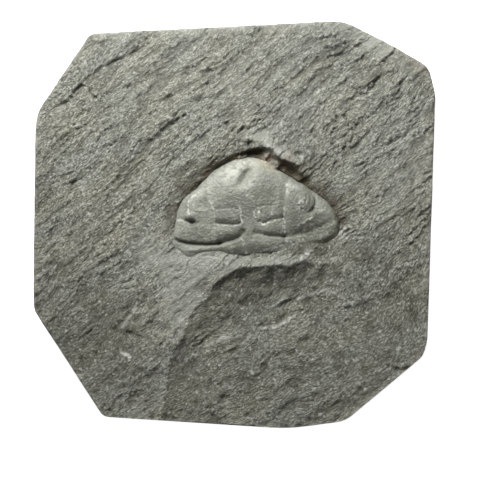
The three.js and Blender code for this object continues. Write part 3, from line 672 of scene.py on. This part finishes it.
def grain(x, y):
    """Height of the fine relief: long flakes or crumbs, fibres along the lineation, and grit."""
    along, across = grain_axes(x, y)
    calm = calmness(x, y)
    split = sum(height * flakes(along, across, pitch, seed) for height, pitch, seed in FLAKE_SIZES)
    split = split + BAND_HEIGHT * noise(along / 5, across / 0.9, 28)
    crumbs = CRUMB_HEIGHT * layered(along / 1.3, across / 0.8, 33, 3)
    crumbs = crumbs + CRUMB_HEIGHT * flakes(along, across, 0.8, 51)
    fibres = FIBRE_HEIGHT * layered(along / 1.7, across / 0.55, 25, 3)
    grit = 0.026 * noise(x / 0.33, y / 0.33, 29) + 0.02 * noise(x / 0.7, y / 0.6, 30)
    lively = 1 + 0.28 * smooth(y, 4, 12) * smooth(x, -16, -6)
    lively = lively - 0.22 * smooth(x, 6, 14) * smooth(-y, 2, 10)
    return lively * (lerp(1.15 * split, 0.4 * split + crumbs, calm) + fibres + grit)


# %% Streaks, crust and trench
def streaks(x, y):
    """Long low ridges along the cleavage, the same as on the solid."""
    angle = math.radians(STREAK_ANGLE)
    across = y * math.cos(angle) - x * math.sin(angle)
    along = x * math.cos(angle) + y * math.sin(angle)
    fine = np.sin(across * 1.45 + 0.9 * np.sin(along * 0.16))
    broad = np.sin(across * 0.78 + 1.3 * np.sin(along * 0.11 + 2))
    return STREAK_HEIGHT * (fine + broad)


def crust(x, y):
    """Rusty stone that still sticks to the shell's front margin, 0 to 1."""
    return smooth(swell(*CRUST, *ragged(x, y, 0.12)), 0.25, 0.7)


# Depths of the trench beside the shell; the gaps in front have their own
WEST_DEPTH, WEST_TAIL_DEPTH, EAST_DEPTH = 0.34, 0.12, 0.34
CORNER_DEPTH, SEAM_DEPTH = 0.55, 0.14


def trench(x, y):
    """A gap in front of the shell, under the flake's edge, that runs out on both sides."""
    away = around(head_loop, x, y)
    off_edge, side = nearest(catmull_rom(FLAKE_EDGE), *ragged(x, y, 0.1))
    below = smooth(off_edge * side / lerp(1, 3, smooth(-x, -0.5, 2)), -0.05, 0.15)
    gap = swells(GAPS, x, y) * below * (1 - crust(x, y))
    left, right = smooth(-x, -1, 3), smooth(x, 6, 9)
    west = WEST_DEPTH * smooth(y, 3, 7) * left * bell(away / 0.9)
    west = west + WEST_TAIL_DEPTH * smooth(y, -3, 2) * left * bell(away / 1.2)
    east = EAST_DEPTH * smooth(y, -2, 1) * right * bell(away / 1.1)
    seam = CORNER_DEPTH * bell(away / 0.45) * swell(*CORNER, x, y)
    seam = seam + SEAM_DEPTH * bell(away / 0.25) * smooth(y, -3, 0)
    return gap + west + east + seam * (1 - crust(x, y))


# %% Heights of the two pieces
SEAM_CRUMBS = 0.09  # unevenness of the stone against the shell
BROKEN_SWAY, STEP_SWAY, SHELL_SWAY = 0.16, 0.06, 0.035  # how far ragged() moves a place


def stone_height(x, y):
    """Height of the split face before the grain is added."""
    broken = ragged(x, y, BROKEN_SWAY)
    beds = swells(STONE_SWELLS, x, y) + steps(STONE_STEPS, *ragged(x, y, STEP_SWAY)) + streaks(x, y)
    seam = SEAM_CRUMBS * noise(x / 0.45, y / 0.45, 71) * bell(around(head_loop, x, y) / 0.6)
    height = beds + gashes(GASHES, *broken) - grooves(STONE_RIDGES, *broken) - trench(x, y) + seam
    return SLAB_TOP + lerp(height, CRUST_TOP, crust(x, y))


def shell_height(x, y):
    """Height of the shell: its rim at the outline, its relief further in."""
    front = smooth(y, -2, 4)
    away = around(head_loop, x, y)
    x, y = ragged(x, y, SHELL_SWAY)
    relief = HEAD_BASE + swells(HEAD_SWELLS, x, y) - grooves(HEAD_GROOVES, x, y)
    corner = swell(*CORNER, x, y)
    back = lerp(RIM_BACK, RIM_BACK_RIGHT, smooth(x, 5, 8))
    rim = lerp(lerp(back, RIM_FRONT - trench(x, y), np.maximum(front, corner)), CRUST_TOP, crust(x, y))
    roundness = lerp(RIM_ROUND_BACK, RIM_ROUND, np.maximum(front, corner))
    return SLAB_TOP + lerp(rim, relief, 1 - np.exp(-away / roundness))


front_lobe = [np.array([c]) for c in HEAD_SWELLS[0][1]]
print("the front lobe stands at", round(float(shell_height(*front_lobe)[0]), 2), "mm")


# %% [markdown]
# ## Meshes
#
# A square grid shows its rows in grazing light and leaves a staircase at a free outline. Blender's
# constrained Delaunay triangulation takes any points and keeps the outline's edges, so the sheet is
# a jittered hexagonal scatter that ends exactly on the outline.

# %% Points of a sheet
FINE_ZONE = 2.2  # round the hole the points stand closer
FINE_SHARE = 0.6
ROW_SHARE = 0.866  # rows of a hexagonal pattern, as a share of the spacing
JITTER = 0.22
CLEARANCE = 0.6  # from the outline
FINE_CLEARANCE = 0.4


def inside(loop, x, y):
    """Whether each place lies in a loop: a ray from it crosses the loop an odd number of times."""
    odd = np.zeros(len(x), bool)
    for (ax, ay), (bx, by) in zip(loop, np.roll(loop, -1, axis=0)):
        if ay != by:
            odd ^= ((ay > y) != (by > y)) & (x < (bx - ax) * (y - ay) / (by - ay) + ax)
    return odd


def scatter(loop, spacing, hole=None, seed=1):
    """Jittered points inside a loop and outside a hole, clear of both."""
    if hole is not None:
        places = scatter(loop, spacing, seed=seed)
        near = scatter(loop, FINE_SHARE * spacing, seed=seed + 1)
        places = places[around(hole, *places.T) >= FINE_ZONE]
        near = near[around(hole, *near.T) < FINE_ZONE]
        near = near[~inside(hole, *near.T) & (around(hole, *near.T) > FINE_CLEARANCE * spacing)]
        return np.vstack([places[~inside(hole, *places.T)], near])
    rng = np.random.default_rng(seed)
    low, high = loop.min(0), loop.max(0)
    rows = np.arange(low[1], high[1], spacing * ROW_SHARE)
    cols = np.arange(low[0], high[0], spacing)
    x, y = np.meshgrid(cols, rows)
    x = x + (np.arange(len(rows)) % 2)[:, None] * spacing / 2
    places = np.c_[x.ravel(), y.ravel()] + rng.uniform(-JITTER, JITTER, (x.size, 2)) * spacing
    return places[inside(loop, *places.T) & (around(loop, *places.T) > CLEARANCE * spacing)]


# %% Triangles of a sheet and of its wall
SLIVER = 0.02  # least triangle kept: twice its area, for a spacing of 1
INSIDE_ONLY = 1  # the kind of result that stays inside the edges
SAME_PLACE = 1e-9  # points nearer than this are one


def sheet(loop, spacing, hole=None, seed=1):
    """Triangles over a loop; its own points come first, then the hole's, then the scatter."""
    loops = [loop] if hole is None else [loop, hole]
    places = np.vstack(loops + [scatter(loop, spacing, hole, seed)])
    edges, start = [], 0
    for ring in loops:
        edges += [(start + k, start + (k + 1) % len(ring)) for k in range(len(ring))]
        start += len(ring)
    out = delaunay_2d_cdt([Vector(p) for p in places], edges, [], INSIDE_ONLY, SAME_PLACE, False)
    assert len(out[0]) == len(places), "the sheet has to keep its points"
    faces = np.array(out[2])
    corners = places[faces]
    turn = np.cross(corners[:, 1] - corners[:, 0], corners[:, 2] - corners[:, 0])
    faces[turn < 0] = faces[turn < 0][:, ::-1]
    whole = np.abs(turn) > SLIVER * spacing ** 2
    faces, corners = faces[whole], corners[whole]
    if hole is not None:
        faces = faces[~inside(hole, *corners.mean(1).T)]
    return places, faces


def wall(above, below):
    """Triangles between two loops of the same length, given as vertex numbers, facing outwards."""
    a, b = np.roll(above, -1), np.roll(below, -1)
    return np.vstack([np.c_[above, below, b], np.c_[above, b, a]])


# %% Objects, creases and painted numbers
def add_object(name, points, triangles, caps=()):
    """An object from points in millimetres, triangles, and flat faces with many corners."""
    mesh = bpy.data.meshes.new(name)
    mesh.from_pydata((np.asarray(points) * MM).tolist(), [], triangles.tolist() + [list(c) for c in caps])
    mesh.validate()
    mesh.polygons.foreach_set("use_smooth", [len(p.vertices) == 3 for p in mesh.polygons])
    obj = bpy.data.objects.new(name, mesh)
    bpy.context.scene.collection.objects.link(obj)
    print(name, "has", sum(len(p.vertices) - 2 for p in mesh.polygons), "triangles")
    return obj


def crease(obj, loop):
    """Keeps the shading of a sheet and of its wall apart along the loop where they meet."""
    pairs = np.empty(2 * len(obj.data.edges), np.int32)
    obj.data.edges.foreach_get("vertices", pairs)
    on_loop = np.isin(pairs.reshape(-1, 2), loop).all(axis=1)
    obj.data.attributes.new("sharp_edge", "BOOLEAN", "EDGE").data.foreach_set("value", on_loop)


def paint(obj, name, values):
    """One number for each vertex, which the material reads by name."""
    attribute = obj.data.attributes.new(name, "FLOAT", "POINT")
    attribute.data.foreach_set("value", np.asarray(values, np.float32))


# %% [markdown]
# ### The slab
#
# The split face is one sheet with a hole for the head shield. The sawn sides are rings below its
# outer edge, roughened inwards only, so that the slab doesn't outgrow the solid. Near the edge the
# face drops a little: a sawn arris of slate crumbles.
#
# The material can't know where a ledge or a trench is, so the mesh tells it. Each vertex carries a few
# numbers, such as how hollow its place is, how much brown stain and painted shade it gets, and how much
# painted light and pale colour it gets. On the face they follow from the place in plan. A side has no
# width in plan, so there they follow from the way round the slab and the height.

# %% Face and sides of the slab
FACE_SPACING = 0.185
RIM_STEP = 1.4 * FACE_SPACING
SIDE_ROWS = 10
SOUTH_EDGE = -18  # the sharp south edge lies below this in towards_north_west()
ARRIS_WIDTH = 0.3
SIDE_PITS = 0.05


def towards_north_west(x, y):
    """Grows across the slab from the bottom right to the upper left."""
    return y - 0.3 * x


def right_hand(loop):
    """Unit vectors to the right of a loop: outwards where it runs anticlockwise."""
    back = np.roll(loop, 1, axis=0) - np.roll(loop, -1, axis=0)
    return np.c_[-back[:, 1], back[:, 0]] / np.hypot(*back.T)[:, None]


def slab_face(outer, hole):
    """Points and triangles of the split face; its edge is worn, least along the bottom right."""
    places, faces = sheet(outer, FACE_SPACING, hole)
    x, y = places.T
    worn = ARRIS_DROP * (1 + 0.6 * noise(x / 1.1, y / 1.1, 41))
    worn = worn * np.exp(-around(slab_loop, x, y) / ARRIS_WIDTH)
    worn = worn * lerp(0.15, 1, smooth(towards_north_west(x, y), SOUTH_EDGE, -6))
    return np.c_[places, stone_height(x, y) + grain(x, y) - worn], faces


def slab_sides(outer, top, arc):
    """Rings of points from below the face's edge down to the underside."""
    outward = right_hand(outer)
    rings = []
    for row in range(1, SIDE_ROWS + 1):
        share = row / SIDE_ROWS
        z = lerp(top, FOOT_CHAMFER, share)
        pitted = SIDE_PITS * np.abs(layered(arc / 0.9, z / 0.9, 43)) + 0.03 * smooth(1 - share, 0.8, 1)
        rings.append(np.c_[outer - outward * pitted[:, None], z])
    rings.append(np.c_[outer - outward * FOOT_CHAMFER, np.zeros(len(outer))])
    return rings


# %% Numbers that the slate's material reads
HALO, HALO_REACH = 0.34, 1.9  # brown stain and painted shade round the front of the head
LEDGE_SHADE, LEDGE_SHADE_REACH = 0.55, 3  # painted shade on the bed below the ledge
LIP_HIGHLIGHT, LIP_HIGHLIGHT_REACH = 0.6, 0.6  # painted highlight on the bed above it
LEDGE_REACH = 15  # both stay within this distance of the middle
ARRIS_PALE = (0.3, 0.6)  # width of the pale arris, lower left and upper right
MICA_SIZE = 0.22


def paint_slate(obj, points, on_side, side_run):
    """Everything that the material reads from the mesh, for the face and for the sawn sides."""
    x, y, z = points.T
    level = smooth(z, SLAB_TOP - 1.5, SLAB_TOP - 0.5)
    patchy = smooth(layered(x / 0.7, (y + z) / 0.7, 87, 3), -0.7, 0.5)

    along, across = grain_axes(x, y)
    along[on_side], across[on_side] = side_run, z[on_side]
    # On the face the hollows of the grain get painted shade, darker the deeper they are; on the sawn sides
    # the same number is a random patchiness.
    hollow = -grain(x, y) / FULL_HOLLOW_SHADE
    hollow[on_side] = layered(side_run / 1.6, z[on_side] / 0.5, 91, 3)
    paint(obj, "along", along)
    paint(obj, "across", across)
    paint(obj, "hollow", np.clip(hollow, 0, 1))

    # Brown stain and painted shade: the trench darkens with its depth, and a patchy brown halo darkens the
    # ground round the front of the head.
    halo = HALO * bell(around(head_loop, x, y) / HALO_REACH) * smooth(y, -2, 3) * patchy
    dirt_and_shade = np.clip(trench(x, y) / FULL_DIRT_AND_SHADE + halo, 0, 1) * (z > DIRT_AND_SHADE_FLOOR)
    paint(obj, "dirt_and_shade", dirt_and_shade)
    paint(obj, "rust", swells(STONE_RUST, x, y) * patchy * lerp(0.4, 1, level))

    past = below_ledge(x, y)
    # Painted shade on the slope under the ledge and a painted highlight on the lip above it.
    ledge_shade = LEDGE_SHADE * smooth(past, 0, 0.2) * np.exp(-np.maximum(past, 0) / LEDGE_SHADE_REACH)
    lip_highlight = LIP_HIGHLIGHT * smooth(-past, -0.1, 0.1) * np.exp(-np.maximum(-past, 0) / LIP_HIGHLIGHT_REACH)
    # Painted shade and light of the stone: the listed tones plus the ledge's shade and the lip's highlight;
    # down the sawn sides it settles on a flat darker tone.
    shade_and_tone = swells(STONE_SHADE_AND_TONES, x, y) + (ledge_shade - lip_highlight) * smooth(LEDGE_REACH - np.abs(x), 0, 4)
    paint(obj, "shade_and_tone", lerp(0.3, shade_and_tone, np.where(on_side, level, 1)))

    crumbled = smooth(layered(x / 1.3, y / 1.3, 81, 3), -0.6, 0.5)
    width = lerp(*ARRIS_PALE, smooth(x + y, 22, 36))
    edge = np.exp(-around(slab_loop, x, y) / width) * smooth(z, SLAB_TOP - 1.3, SLAB_TOP - 0.7)
    paint(obj, "arris", edge * crumbled)

    # Mica flecks are painted bright, standing in for the glint that they catch; pale specks and crystals join
    # them, with a painted highlight on the flake's crest.
    mica = smooth(noise(x / MICA_SIZE, y / MICA_SIZE, 83), 0.7, 0.9)
    mica = mica * ~on_side * (1 - smooth(dirt_and_shade, 0.15, 0.4))
    broken = smooth(noise(x / 0.3, y / 0.3, 85), -0.6, 0.2)
    paint(obj, "pale_and_highlight", np.maximum(mica, marks(STONE_SPECKS_AND_HIGHLIGHTS, *ragged(x, y, 0.1)) * broken))


# %% The slab as one object
def slab_surface():
    """The split face, the sawn sides, the underside and the pocket under the head shield."""
    outer = spaced(slab_loop, RIM_STEP)
    hole = spaced(head_loop, FINE_SHARE * FACE_SPACING)
    hole = hole - SEAM * right_hand(hole)
    face, triangles = slab_face(outer, hole)
    n = len(outer)
    arc = np.arange(n) * RIM_STEP
    sides = slab_sides(outer, face[:n, 2], arc)
    points = np.vstack([face] + sides + [np.c_[hole, np.full(len(hole), POCKET_FLOOR)]])
    rings = [np.arange(n)] + [len(face) + k * n + np.arange(n) for k in range(len(sides))]
    inner = np.arange(n, n + len(hole))
    floor = np.arange(len(points) - len(hole), len(points))
    walls = [wall(a, b) for a, b in zip(rings, rings[1:])] + [wall(inner, floor)]
    caps = [rings[-1][::-1], floor[::-1]]
    obj = add_object("slate_face", points, np.vstack([triangles] + walls), caps)
    sharp_south = np.flatnonzero(towards_north_west(*outer.T) < SOUTH_EDGE)
    crease(obj, np.r_[inner, sharp_south])
    on_side = np.zeros(len(points), bool)
    on_side[len(face):len(face) + n * len(sides)] = True
    paint_slate(obj, points, on_side, np.resize(arc, n * len(sides)))
    return obj


slate_face = slab_surface()
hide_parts("matrix_slab")
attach(slate_face, "root")

# %% [markdown]
# ### The head shield
#
# The same sheet without a hole, closer set, because the eye goes here first. The shell is smooth
# where the stone is rough, with fine wrinkles from being squeezed in the slate. Its rim follows the
# trench down in front and meets the stone behind, so the seam hardly shows.

# %% Wrinkles of the shell
SHELL_SPACING = 0.078
FOLD_HEIGHT = 0.035
SPECKLE_HEIGHT = 0.016
EYE_GRAIN_HEIGHT = 0.05


def eye_noise(x, y):
    """The grains of the right eye, the same for its height and its colour."""
    return noise(x / 0.22, y / 0.22, 57)


def wrinkles(x, y):
    """Fine height of the shell: shallow wrinkles, a speckle, and grains on the right eye."""
    folds = FOLD_HEIGHT * layered(x / 1.3, y / 1.3, 51, 2) + 0.006 * layered(x / 0.4, y / 0.4, 53, 2)
    granules = EYE_GRAIN_HEIGHT * swell(*EYE_GRAINS, x, y) * eye_noise(x, y)
    return folds + SPECKLE_HEIGHT * noise(x / 0.17, y / 0.17, 55) + granules


# %% Numbers that the shell's material reads
EYE_EDGE = (8.78, 8.9)  # the eye's dark surface begins between these
EYE_DARKENING = 0.8
EYE_GRAIN_PALE = 1.6
FURROW_DARKENING = 1.6  # darkening for each mm of a furrow's depth
CRUST_RUST, STAIN_RUST = 1.2, 0.3


def paint_shell(obj, x, y):
    """Everything that the material reads from the mesh."""
    mottle = layered(x / 0.4, y / 0.35, 61, 3) + 0.6 * noise(x / 0.13, y / 0.13, 67)
    # Pale skin, painted highlight and the pale grains of the right eye.
    pale_and_highlight = swells(SHELL_PALE_AND_HIGHLIGHTS, x, y) * smooth(mottle, -1.3, 0.8)
    eye_grains = smooth(eye_noise(x, y), 0, 0.5) * swell(*EYE_GRAINS, x, y)
    paint(obj, "pale_and_highlight", np.clip(np.maximum(pale_and_highlight, EYE_GRAIN_PALE * eye_grains), 0, 1))

    # Darker in proportion to each furrow's depth, plus the painted shade and dirt of the spots above.
    furrows = np.maximum(grooves(HEAD_GROOVES, x, y), 0)
    dirt_and_shade = swells(SHELL_DIRT_AND_SHADE, x, y) * smooth(mottle, -0.9, 0.4) + FURROW_DARKENING * furrows
    eye = smooth(x, *EYE_EDGE) * smooth(swell(*EYE_SURFACE, x, y), 0.3, 0.45)
    paint(obj, "dirt_and_shade", np.clip(np.maximum(dirt_and_shade, EYE_DARKENING * eye), 0, 1))

    broken = smooth(noise(x / 0.22, y / 0.22, 65), -0.3, 0.4)
    paint(obj, "lines", np.clip(marks(SHELL_LINES, *ragged(x, y, 0.12)) * broken, 0, 1))
    paint(obj, "slit_shadows", marks(SHELL_SLIT_SHADOWS, *ragged(x, y, 0.05)))
    rust = CRUST_RUST * swell(*CRUST, x, y) + STAIN_RUST * swell(*FRONT_STAIN, x, y)
    paint(obj, "rust", np.clip(rust, 0, 1))


# %% The head shield as one object
def shell_surface():
    """The shell's upper side, a short wall at its outline and a flat underside."""
    outer = spaced(head_loop, SHELL_SPACING)
    places, faces = sheet(outer, SHELL_SPACING, seed=2)
    top = np.c_[places, shell_height(*places.T) + wrinkles(*places.T)]
    n = len(outer)
    under = np.c_[outer, np.full(n, POCKET_FLOOR + SEAT_GAP)]
    points = np.vstack([top, under])
    rim, foot = np.arange(n), np.arange(len(top), len(points))
    obj = add_object("shell", points, np.vstack([faces, wall(rim, foot)]), [foot[::-1]])
    crease(obj, rim)
    paint_shell(obj, *points[:, :2].T)
    return obj


shell = shell_surface()
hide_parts("head_shield")
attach(shell, "root")

# %% [markdown]
# ## Shader maths
#
# A material is a graph of nodes. Written out link by link it is unreadable, so a small class wraps a
# socket and gives it Python's operators: `1 - mask * 0.5` adds the Math nodes by itself. Every other
# node comes from one method, `add`, which takes the node's type, its settings and its sockets.

# %% A socket with operators
class Wire:
    """An output socket that can be added, multiplied and so on."""

    def __init__(self, board, socket):
        self.board, self.socket = board, socket

    def maths(self, operation, a, b, clamp=False):
        """A Math node on two wires or numbers."""
        settings = {"operation": operation, "use_clamp": clamp}
        return self.board.add("ShaderNodeMath", settings, {0: a, 1: b})

    def __add__(self, other):
        return self.maths("ADD", self, other)

    def __sub__(self, other):
        return self.maths("SUBTRACT", self, other)

    def __mul__(self, other):
        return self.maths("MULTIPLY", self, other)

    def __truediv__(self, other):
        return self.maths("DIVIDE", self, other)

    def __rtruediv__(self, other):
        return self.maths("DIVIDE", other, self)

    def __radd__(self, other):
        return self.maths("ADD", other, self)

    def __rsub__(self, other):
        return self.maths("SUBTRACT", other, self)

    def __rmul__(self, other):
        return self.maths("MULTIPLY", other, self)

    def fract(self):
        return self.maths("FRACT", self, 0)

    def over(self, low, high):
        """0 below low, 1 above high and straight between."""
        return self.maths("MULTIPLY", self - low, 1 / (high - low), clamp=True)


# %% A material's node tree
class Board:
    """A material's node tree."""

    def __init__(self, name):
        self.material = bpy.data.materials.new(name)
        self.material.use_nodes = True
        self.tree = self.material.node_tree
        self.shader = self.tree.nodes["Principled BSDF"]

    def plug(self, socket, value):
        """Links a wire to a socket, or sets the socket to a value."""
        if isinstance(value, Wire):
            self.tree.links.new(value.socket, socket)
        else:
            socket.default_value = value

    def add(self, kind, settings=None, sockets=None, out=0):
        """A node with its settings, then the values or links of its sockets."""
        node = self.tree.nodes.new(kind)
        for key, value in (settings or {}).items():
            setattr(node, key, value)
        for key, value in (sockets or {}).items():
            self.plug(node.inputs[key], value)
        return Wire(self, node.outputs[out])

    def finish(self, **sockets):
        """Feeds the shader's sockets; an underscore stands for a space in a name."""
        for key, value in sockets.items():
            self.plug(self.shader.inputs[key.replace("_", " ")], value)
        return self.material

    def place(self, stretch=(1, 1, 1), turn=0):
        """Object coordinates in millimetres, turned about Z and stretched."""
        coordinates = self.add("ShaderNodeTexCoord", out="Object")
        turned = self.add("ShaderNodeVectorRotate", {"rotation_type": "Z_AXIS"},
                          {"Vector": coordinates, "Angle": math.radians(-turn)})
        return self.add("ShaderNodeVectorMath", {"operation": "DIVIDE"},
                        {0: turned, 1: [s * MM for s in stretch]})

    def grain_place(self, stretch):
        """Millimetres along and across the grain, as painted on the mesh, and up; stretched."""
        up = self.add("ShaderNodeSeparateXYZ", {}, {0: self.place()}, out=2)
        joined = self.add("ShaderNodeCombineXYZ", {}, {
            0: self.painted("along"), 1: self.painted("across"), 2: up})
        return self.add("ShaderNodeVectorMath", {"operation": "DIVIDE"}, {0: joined, 1: stretch})

    def noise_at(self, place, detail=3, rough=0.5):
        return self.add("ShaderNodeTexNoise", {}, {
            "Vector": place, "Scale": 1, "Detail": detail, "Roughness": rough})

    def noise(self, stretch, detail=3, turn=0, rough=0.5):
        return self.noise_at(self.place(stretch, turn), detail, rough)

    def grain_noise(self, stretch, detail=3, rough=0.5):
        return self.noise_at(self.grain_place(stretch), detail, rough)

    def painted(self, name):
        """The number that paint() left on each vertex."""
        return self.add("ShaderNodeAttribute", {"attribute_name": name}, out="Fac")

    def mix(self, share, a, b):
        """Colour a where share is 0, colour b where it is 1."""
        return self.add("ShaderNodeMix", {"data_type": "RGBA"}, {0: share, 6: a, 7: b}, out=2)

    def bump(self, height, distance):
        """A normal for relief that is as high as the distance in millimetres."""
        return self.add("ShaderNodeBump", {}, {"Height": height, "Distance": distance * MM, "Strength": 1})


# %% Colours
def srgb(r, g, b):
    """A colour given as 0 to 255, as a shader's linear colour."""
    def linear(c):
        c /= 255
        return c / 12.92 if c <= 0.04045 else ((c + 0.055) / 1.055) ** 2.4
    return (linear(r), linear(g), linear(b), 1)


print("srgb(128, 128, 128) is", [round(c, 3) for c in srgb(128, 128, 128)])

# %% [markdown]
# ## Slate
#
# Weathered slate is a grey-green ground with brownish patches, paler on broken edges and full of tiny
# flakes of mica. The mica is painted bright, standing in for the light that it catches. Stretched noise
# gives the patches and the fibres, the grain's hollows get painted shade, the tones, the ledge and the
# trench add painted shade and light, and a bump carries the grain that is finer than the mesh.

# %% Slate material
GREEN_GREY = srgb(168, 171, 159)
OLIVE_GREY = srgb(171, 169, 149)
FIBRE = srgb(112, 114, 104)
BRIGHT_GRIT = srgb(228, 230, 218)
DARK_GRIT = srgb(84, 84, 72)
HOLLOW_SHADE = srgb(74, 72, 58)
BROWN_DIRT_AND_SHADE = srgb(104, 90, 66)
RUST = srgb(152, 106, 72)
WORN_ARRIS = srgb(214, 214, 198)
SHADY_BED = srgb(84, 82, 64)
LIT_BED = srgb(206, 208, 196)
PALE_FLECK_AND_HIGHLIGHT = srgb(236, 237, 228)
THIN_FLAKE_PITCH = 0.45
THIN_FLAKE_HEIGHT = 0.16


def slate():
    b = Board("slate")
    patches = b.noise((9, 4, 4), 4, STREAK_ANGLE).over(0.38, 0.66)
    fibres = b.grain_noise((1.3, 0.3, 0.3), 5, 0.7).over(0.3, 0.7)
    grit = b.grain_noise((0.42, 0.14, 0.16), 2, 0.7)
    shade_and_tone = b.painted("shade_and_tone")
    ground = b.mix(patches, GREEN_GREY, OLIVE_GREY)
    ground = b.mix(fibres * 0.4, ground, FIBRE)
    ground = b.mix(grit.over(0.5, 0.63) * 0.85, ground, BRIGHT_GRIT)
    ground = b.mix((1 - grit).over(0.5, 0.64) * 0.6, ground, DARK_GRIT)
    # painted shade in the grain's hollows, patchiness on the sides
    ground = b.mix(b.painted("hollow") * 0.5, ground, HOLLOW_SHADE)
    # brown stain and painted shade in the trench and round the head
    ground = b.mix(b.painted("dirt_and_shade").over(0.06, 0.7) * 0.85, ground, BROWN_DIRT_AND_SHADE)
    ground = b.mix(b.painted("rust").over(0, 1) * 0.75, ground, RUST)
    ground = b.mix(b.painted("arris") * 0.8, ground, WORN_ARRIS)
    # painted shade where the tone is above 0, painted light where it is below
    ground = b.mix(shade_and_tone.over(0, 1) * 0.55, ground, SHADY_BED)
    ground = b.mix((0 - shade_and_tone).over(0, 1) * 0.6, ground, LIT_BED)
    # pale flecks and specks, the mica painted bright for its glint, and painted highlights
    ground = b.mix(b.painted("pale_and_highlight") * 0.8, ground, PALE_FLECK_AND_HIGHLIGHT)
    fine = b.grain_noise((0.48, 0.18, 0.2), 3, 0.8)
    phase = b.painted("across") / THIN_FLAKE_PITCH + b.grain_noise((1.6, 0.7, 0.7), 3) * 5
    kept = b.grain_noise((1.1, 0.5, 0.5), 2).over(0.45, 0.6)
    thin_flakes = (0.5 - phase.fract()) * kept
    normal = b.bump(fine + thin_flakes * THIN_FLAKE_HEIGHT, 1)
    return b.finish(Base_Color=ground, Roughness=0.85, Normal=normal, Specular_IOR_Level=0.35)


slate_face.data.materials.append(slate())
print("the slate has", len(slate_face.active_material.node_tree.nodes), "nodes")

# %% [markdown]
# ## Shell
#
# The shell has gone to stone too, but it keeps a smooth skin: lighter and bluer than the slate, with
# a soft gloss on its ridges and faint mottling. Its furrows darken with their depth, near-black painted
# shadow lines the narrowest, and painted shade and highlight lie on its lobes.

# %% Shell material
DARK_SKIN = srgb(126, 129, 119)
LIGHT_SKIN = srgb(142, 144, 131)
BRIGHT_SPECKLE = srgb(196, 198, 188)
DARK_SPECKLE = srgb(84, 86, 76)
FURROW_DIRT_AND_SHADE = srgb(78, 77, 64)
SLIT_SHADOW = srgb(40, 38, 28)
PALE_STAIN = srgb(190, 176, 150)
PALE_SKIN_AND_HIGHLIGHT = srgb(226, 228, 216)


def shell_skin():
    b = Board("shell")
    mottle = b.noise((2.2, 1.6, 1.6), 5).over(0.35, 0.65)
    fine = b.noise((0.35, 0.3, 0.3), 4, 0, 0.65)
    skin = b.mix(mottle, DARK_SKIN, LIGHT_SKIN)
    skin = b.mix(fine.over(0.52, 0.64) * 0.3, skin, BRIGHT_SPECKLE)
    skin = b.mix((1 - fine).over(0.52, 0.64) * 0.2, skin, DARK_SPECKLE)
    # painted shade and brown dirt
    skin = b.mix(b.painted("dirt_and_shade") * 0.6, skin, FURROW_DIRT_AND_SHADE)
    # painted shadow in the narrow furrows and cracks
    skin = b.mix(b.painted("slit_shadows") * 0.9, skin, SLIT_SHADOW)
    skin = b.mix(b.painted("rust") * 0.6, skin, PALE_STAIN)
    # pale skin and painted highlights, then the pale lines
    skin = b.mix(b.painted("pale_and_highlight") * 0.6, skin, PALE_SKIN_AND_HIGHLIGHT)
    skin = b.mix(b.painted("lines"), skin, PALE_SKIN_AND_HIGHLIGHT)
    return b.finish(Base_Color=skin, Roughness=0.5, Normal=b.bump(fine, 0.16), Specular_IOR_Level=0.5)


shell.data.materials.append(shell_skin())
print("the shell has", len(shell.active_material.node_tree.nodes), "nodes")

# %% [markdown]
# ## Floor, light and camera
#
# The photograph was taken straight down on white. One soft lamp stands low at the top, a little to
# the left, so that each ridge throws a short shadow towards the bottom, and a weak even sky fills.

# %% Floor
WHITE = (1, 1, 1, 1)
PAPER = (0.9, 0.9, 0.9, 1)
FLOOR_REACH = 600 * MM


def add_floor():
    mesh = bpy.data.meshes.new("floor")
    corners = [(x * FLOOR_REACH, y * FLOOR_REACH, 0) for x, y in ((-1, -1), (1, -1), (1, 1), (-1, 1))]
    mesh.from_pydata(corners, [], [(0, 1, 2, 3)])
    floor = bpy.data.objects.new("floor", mesh)
    bpy.context.scene.collection.objects.link(floor)
    paper = Board("floor").finish(
        Base_Color=PAPER, Roughness=0.9, Emission_Color=WHITE, Emission_Strength=0.9)
    mesh.materials.append(paper)


add_floor()

# %% Lamp and sky
KEY_POWER = 0.262
SKY_STRENGTH = 0.2


def add_lamp(name, azimuth, elevation, distance, size, power):
    """A square lamp that looks at the slab's middle from a distance in millimetres."""
    a, e = math.radians(azimuth), math.radians(elevation)
    aim = Vector((0, 0, SLAB_TOP * MM))
    away = Vector((math.cos(a) * math.cos(e), math.sin(a) * math.cos(e), math.sin(e)))
    light = bpy.data.lights.new(name, "AREA")
    light.energy = power
    light.size = size * MM
    lamp = bpy.data.objects.new(name, light)
    lamp.location = aim + away * distance * MM
    lamp.rotation_euler = away.to_track_quat("Z", "Y").to_euler()
    bpy.context.scene.collection.objects.link(lamp)


add_lamp("key", azimuth=110, elevation=37, distance=125, size=50, power=KEY_POWER)
world = bpy.data.worlds.new("sky")
world.use_nodes = True
background = world.node_tree.nodes["Background"]
background.inputs["Color"].default_value = WHITE
background.inputs["Strength"].default_value = SKY_STRENGTH
bpy.context.scene.world = world
bpy.context.scene.view_settings.view_transform = "Standard"
print("lamps:", [lamp.name for lamp in bpy.data.lights])

# %% Camera
FRAME_WIDTH = 60.0
CAMERA_HEIGHT = 360.0
AIM = (0.71, -1.94)
SENSOR = 36.0
camera_data = bpy.data.cameras.new("camera")
camera_data.sensor_width = SENSOR
camera_data.lens = SENSOR * CAMERA_HEIGHT / FRAME_WIDTH
camera = bpy.data.objects.new("camera", camera_data)
camera.location = (AIM[0] * MM, AIM[1] * MM, (SLAB_TOP + CAMERA_HEIGHT) * MM)
camera.rotation_euler = (0, 0, 0)
bpy.context.scene.collection.objects.link(camera)
bpy.context.scene.camera = camera
print("lens in mm:", camera_data.lens)
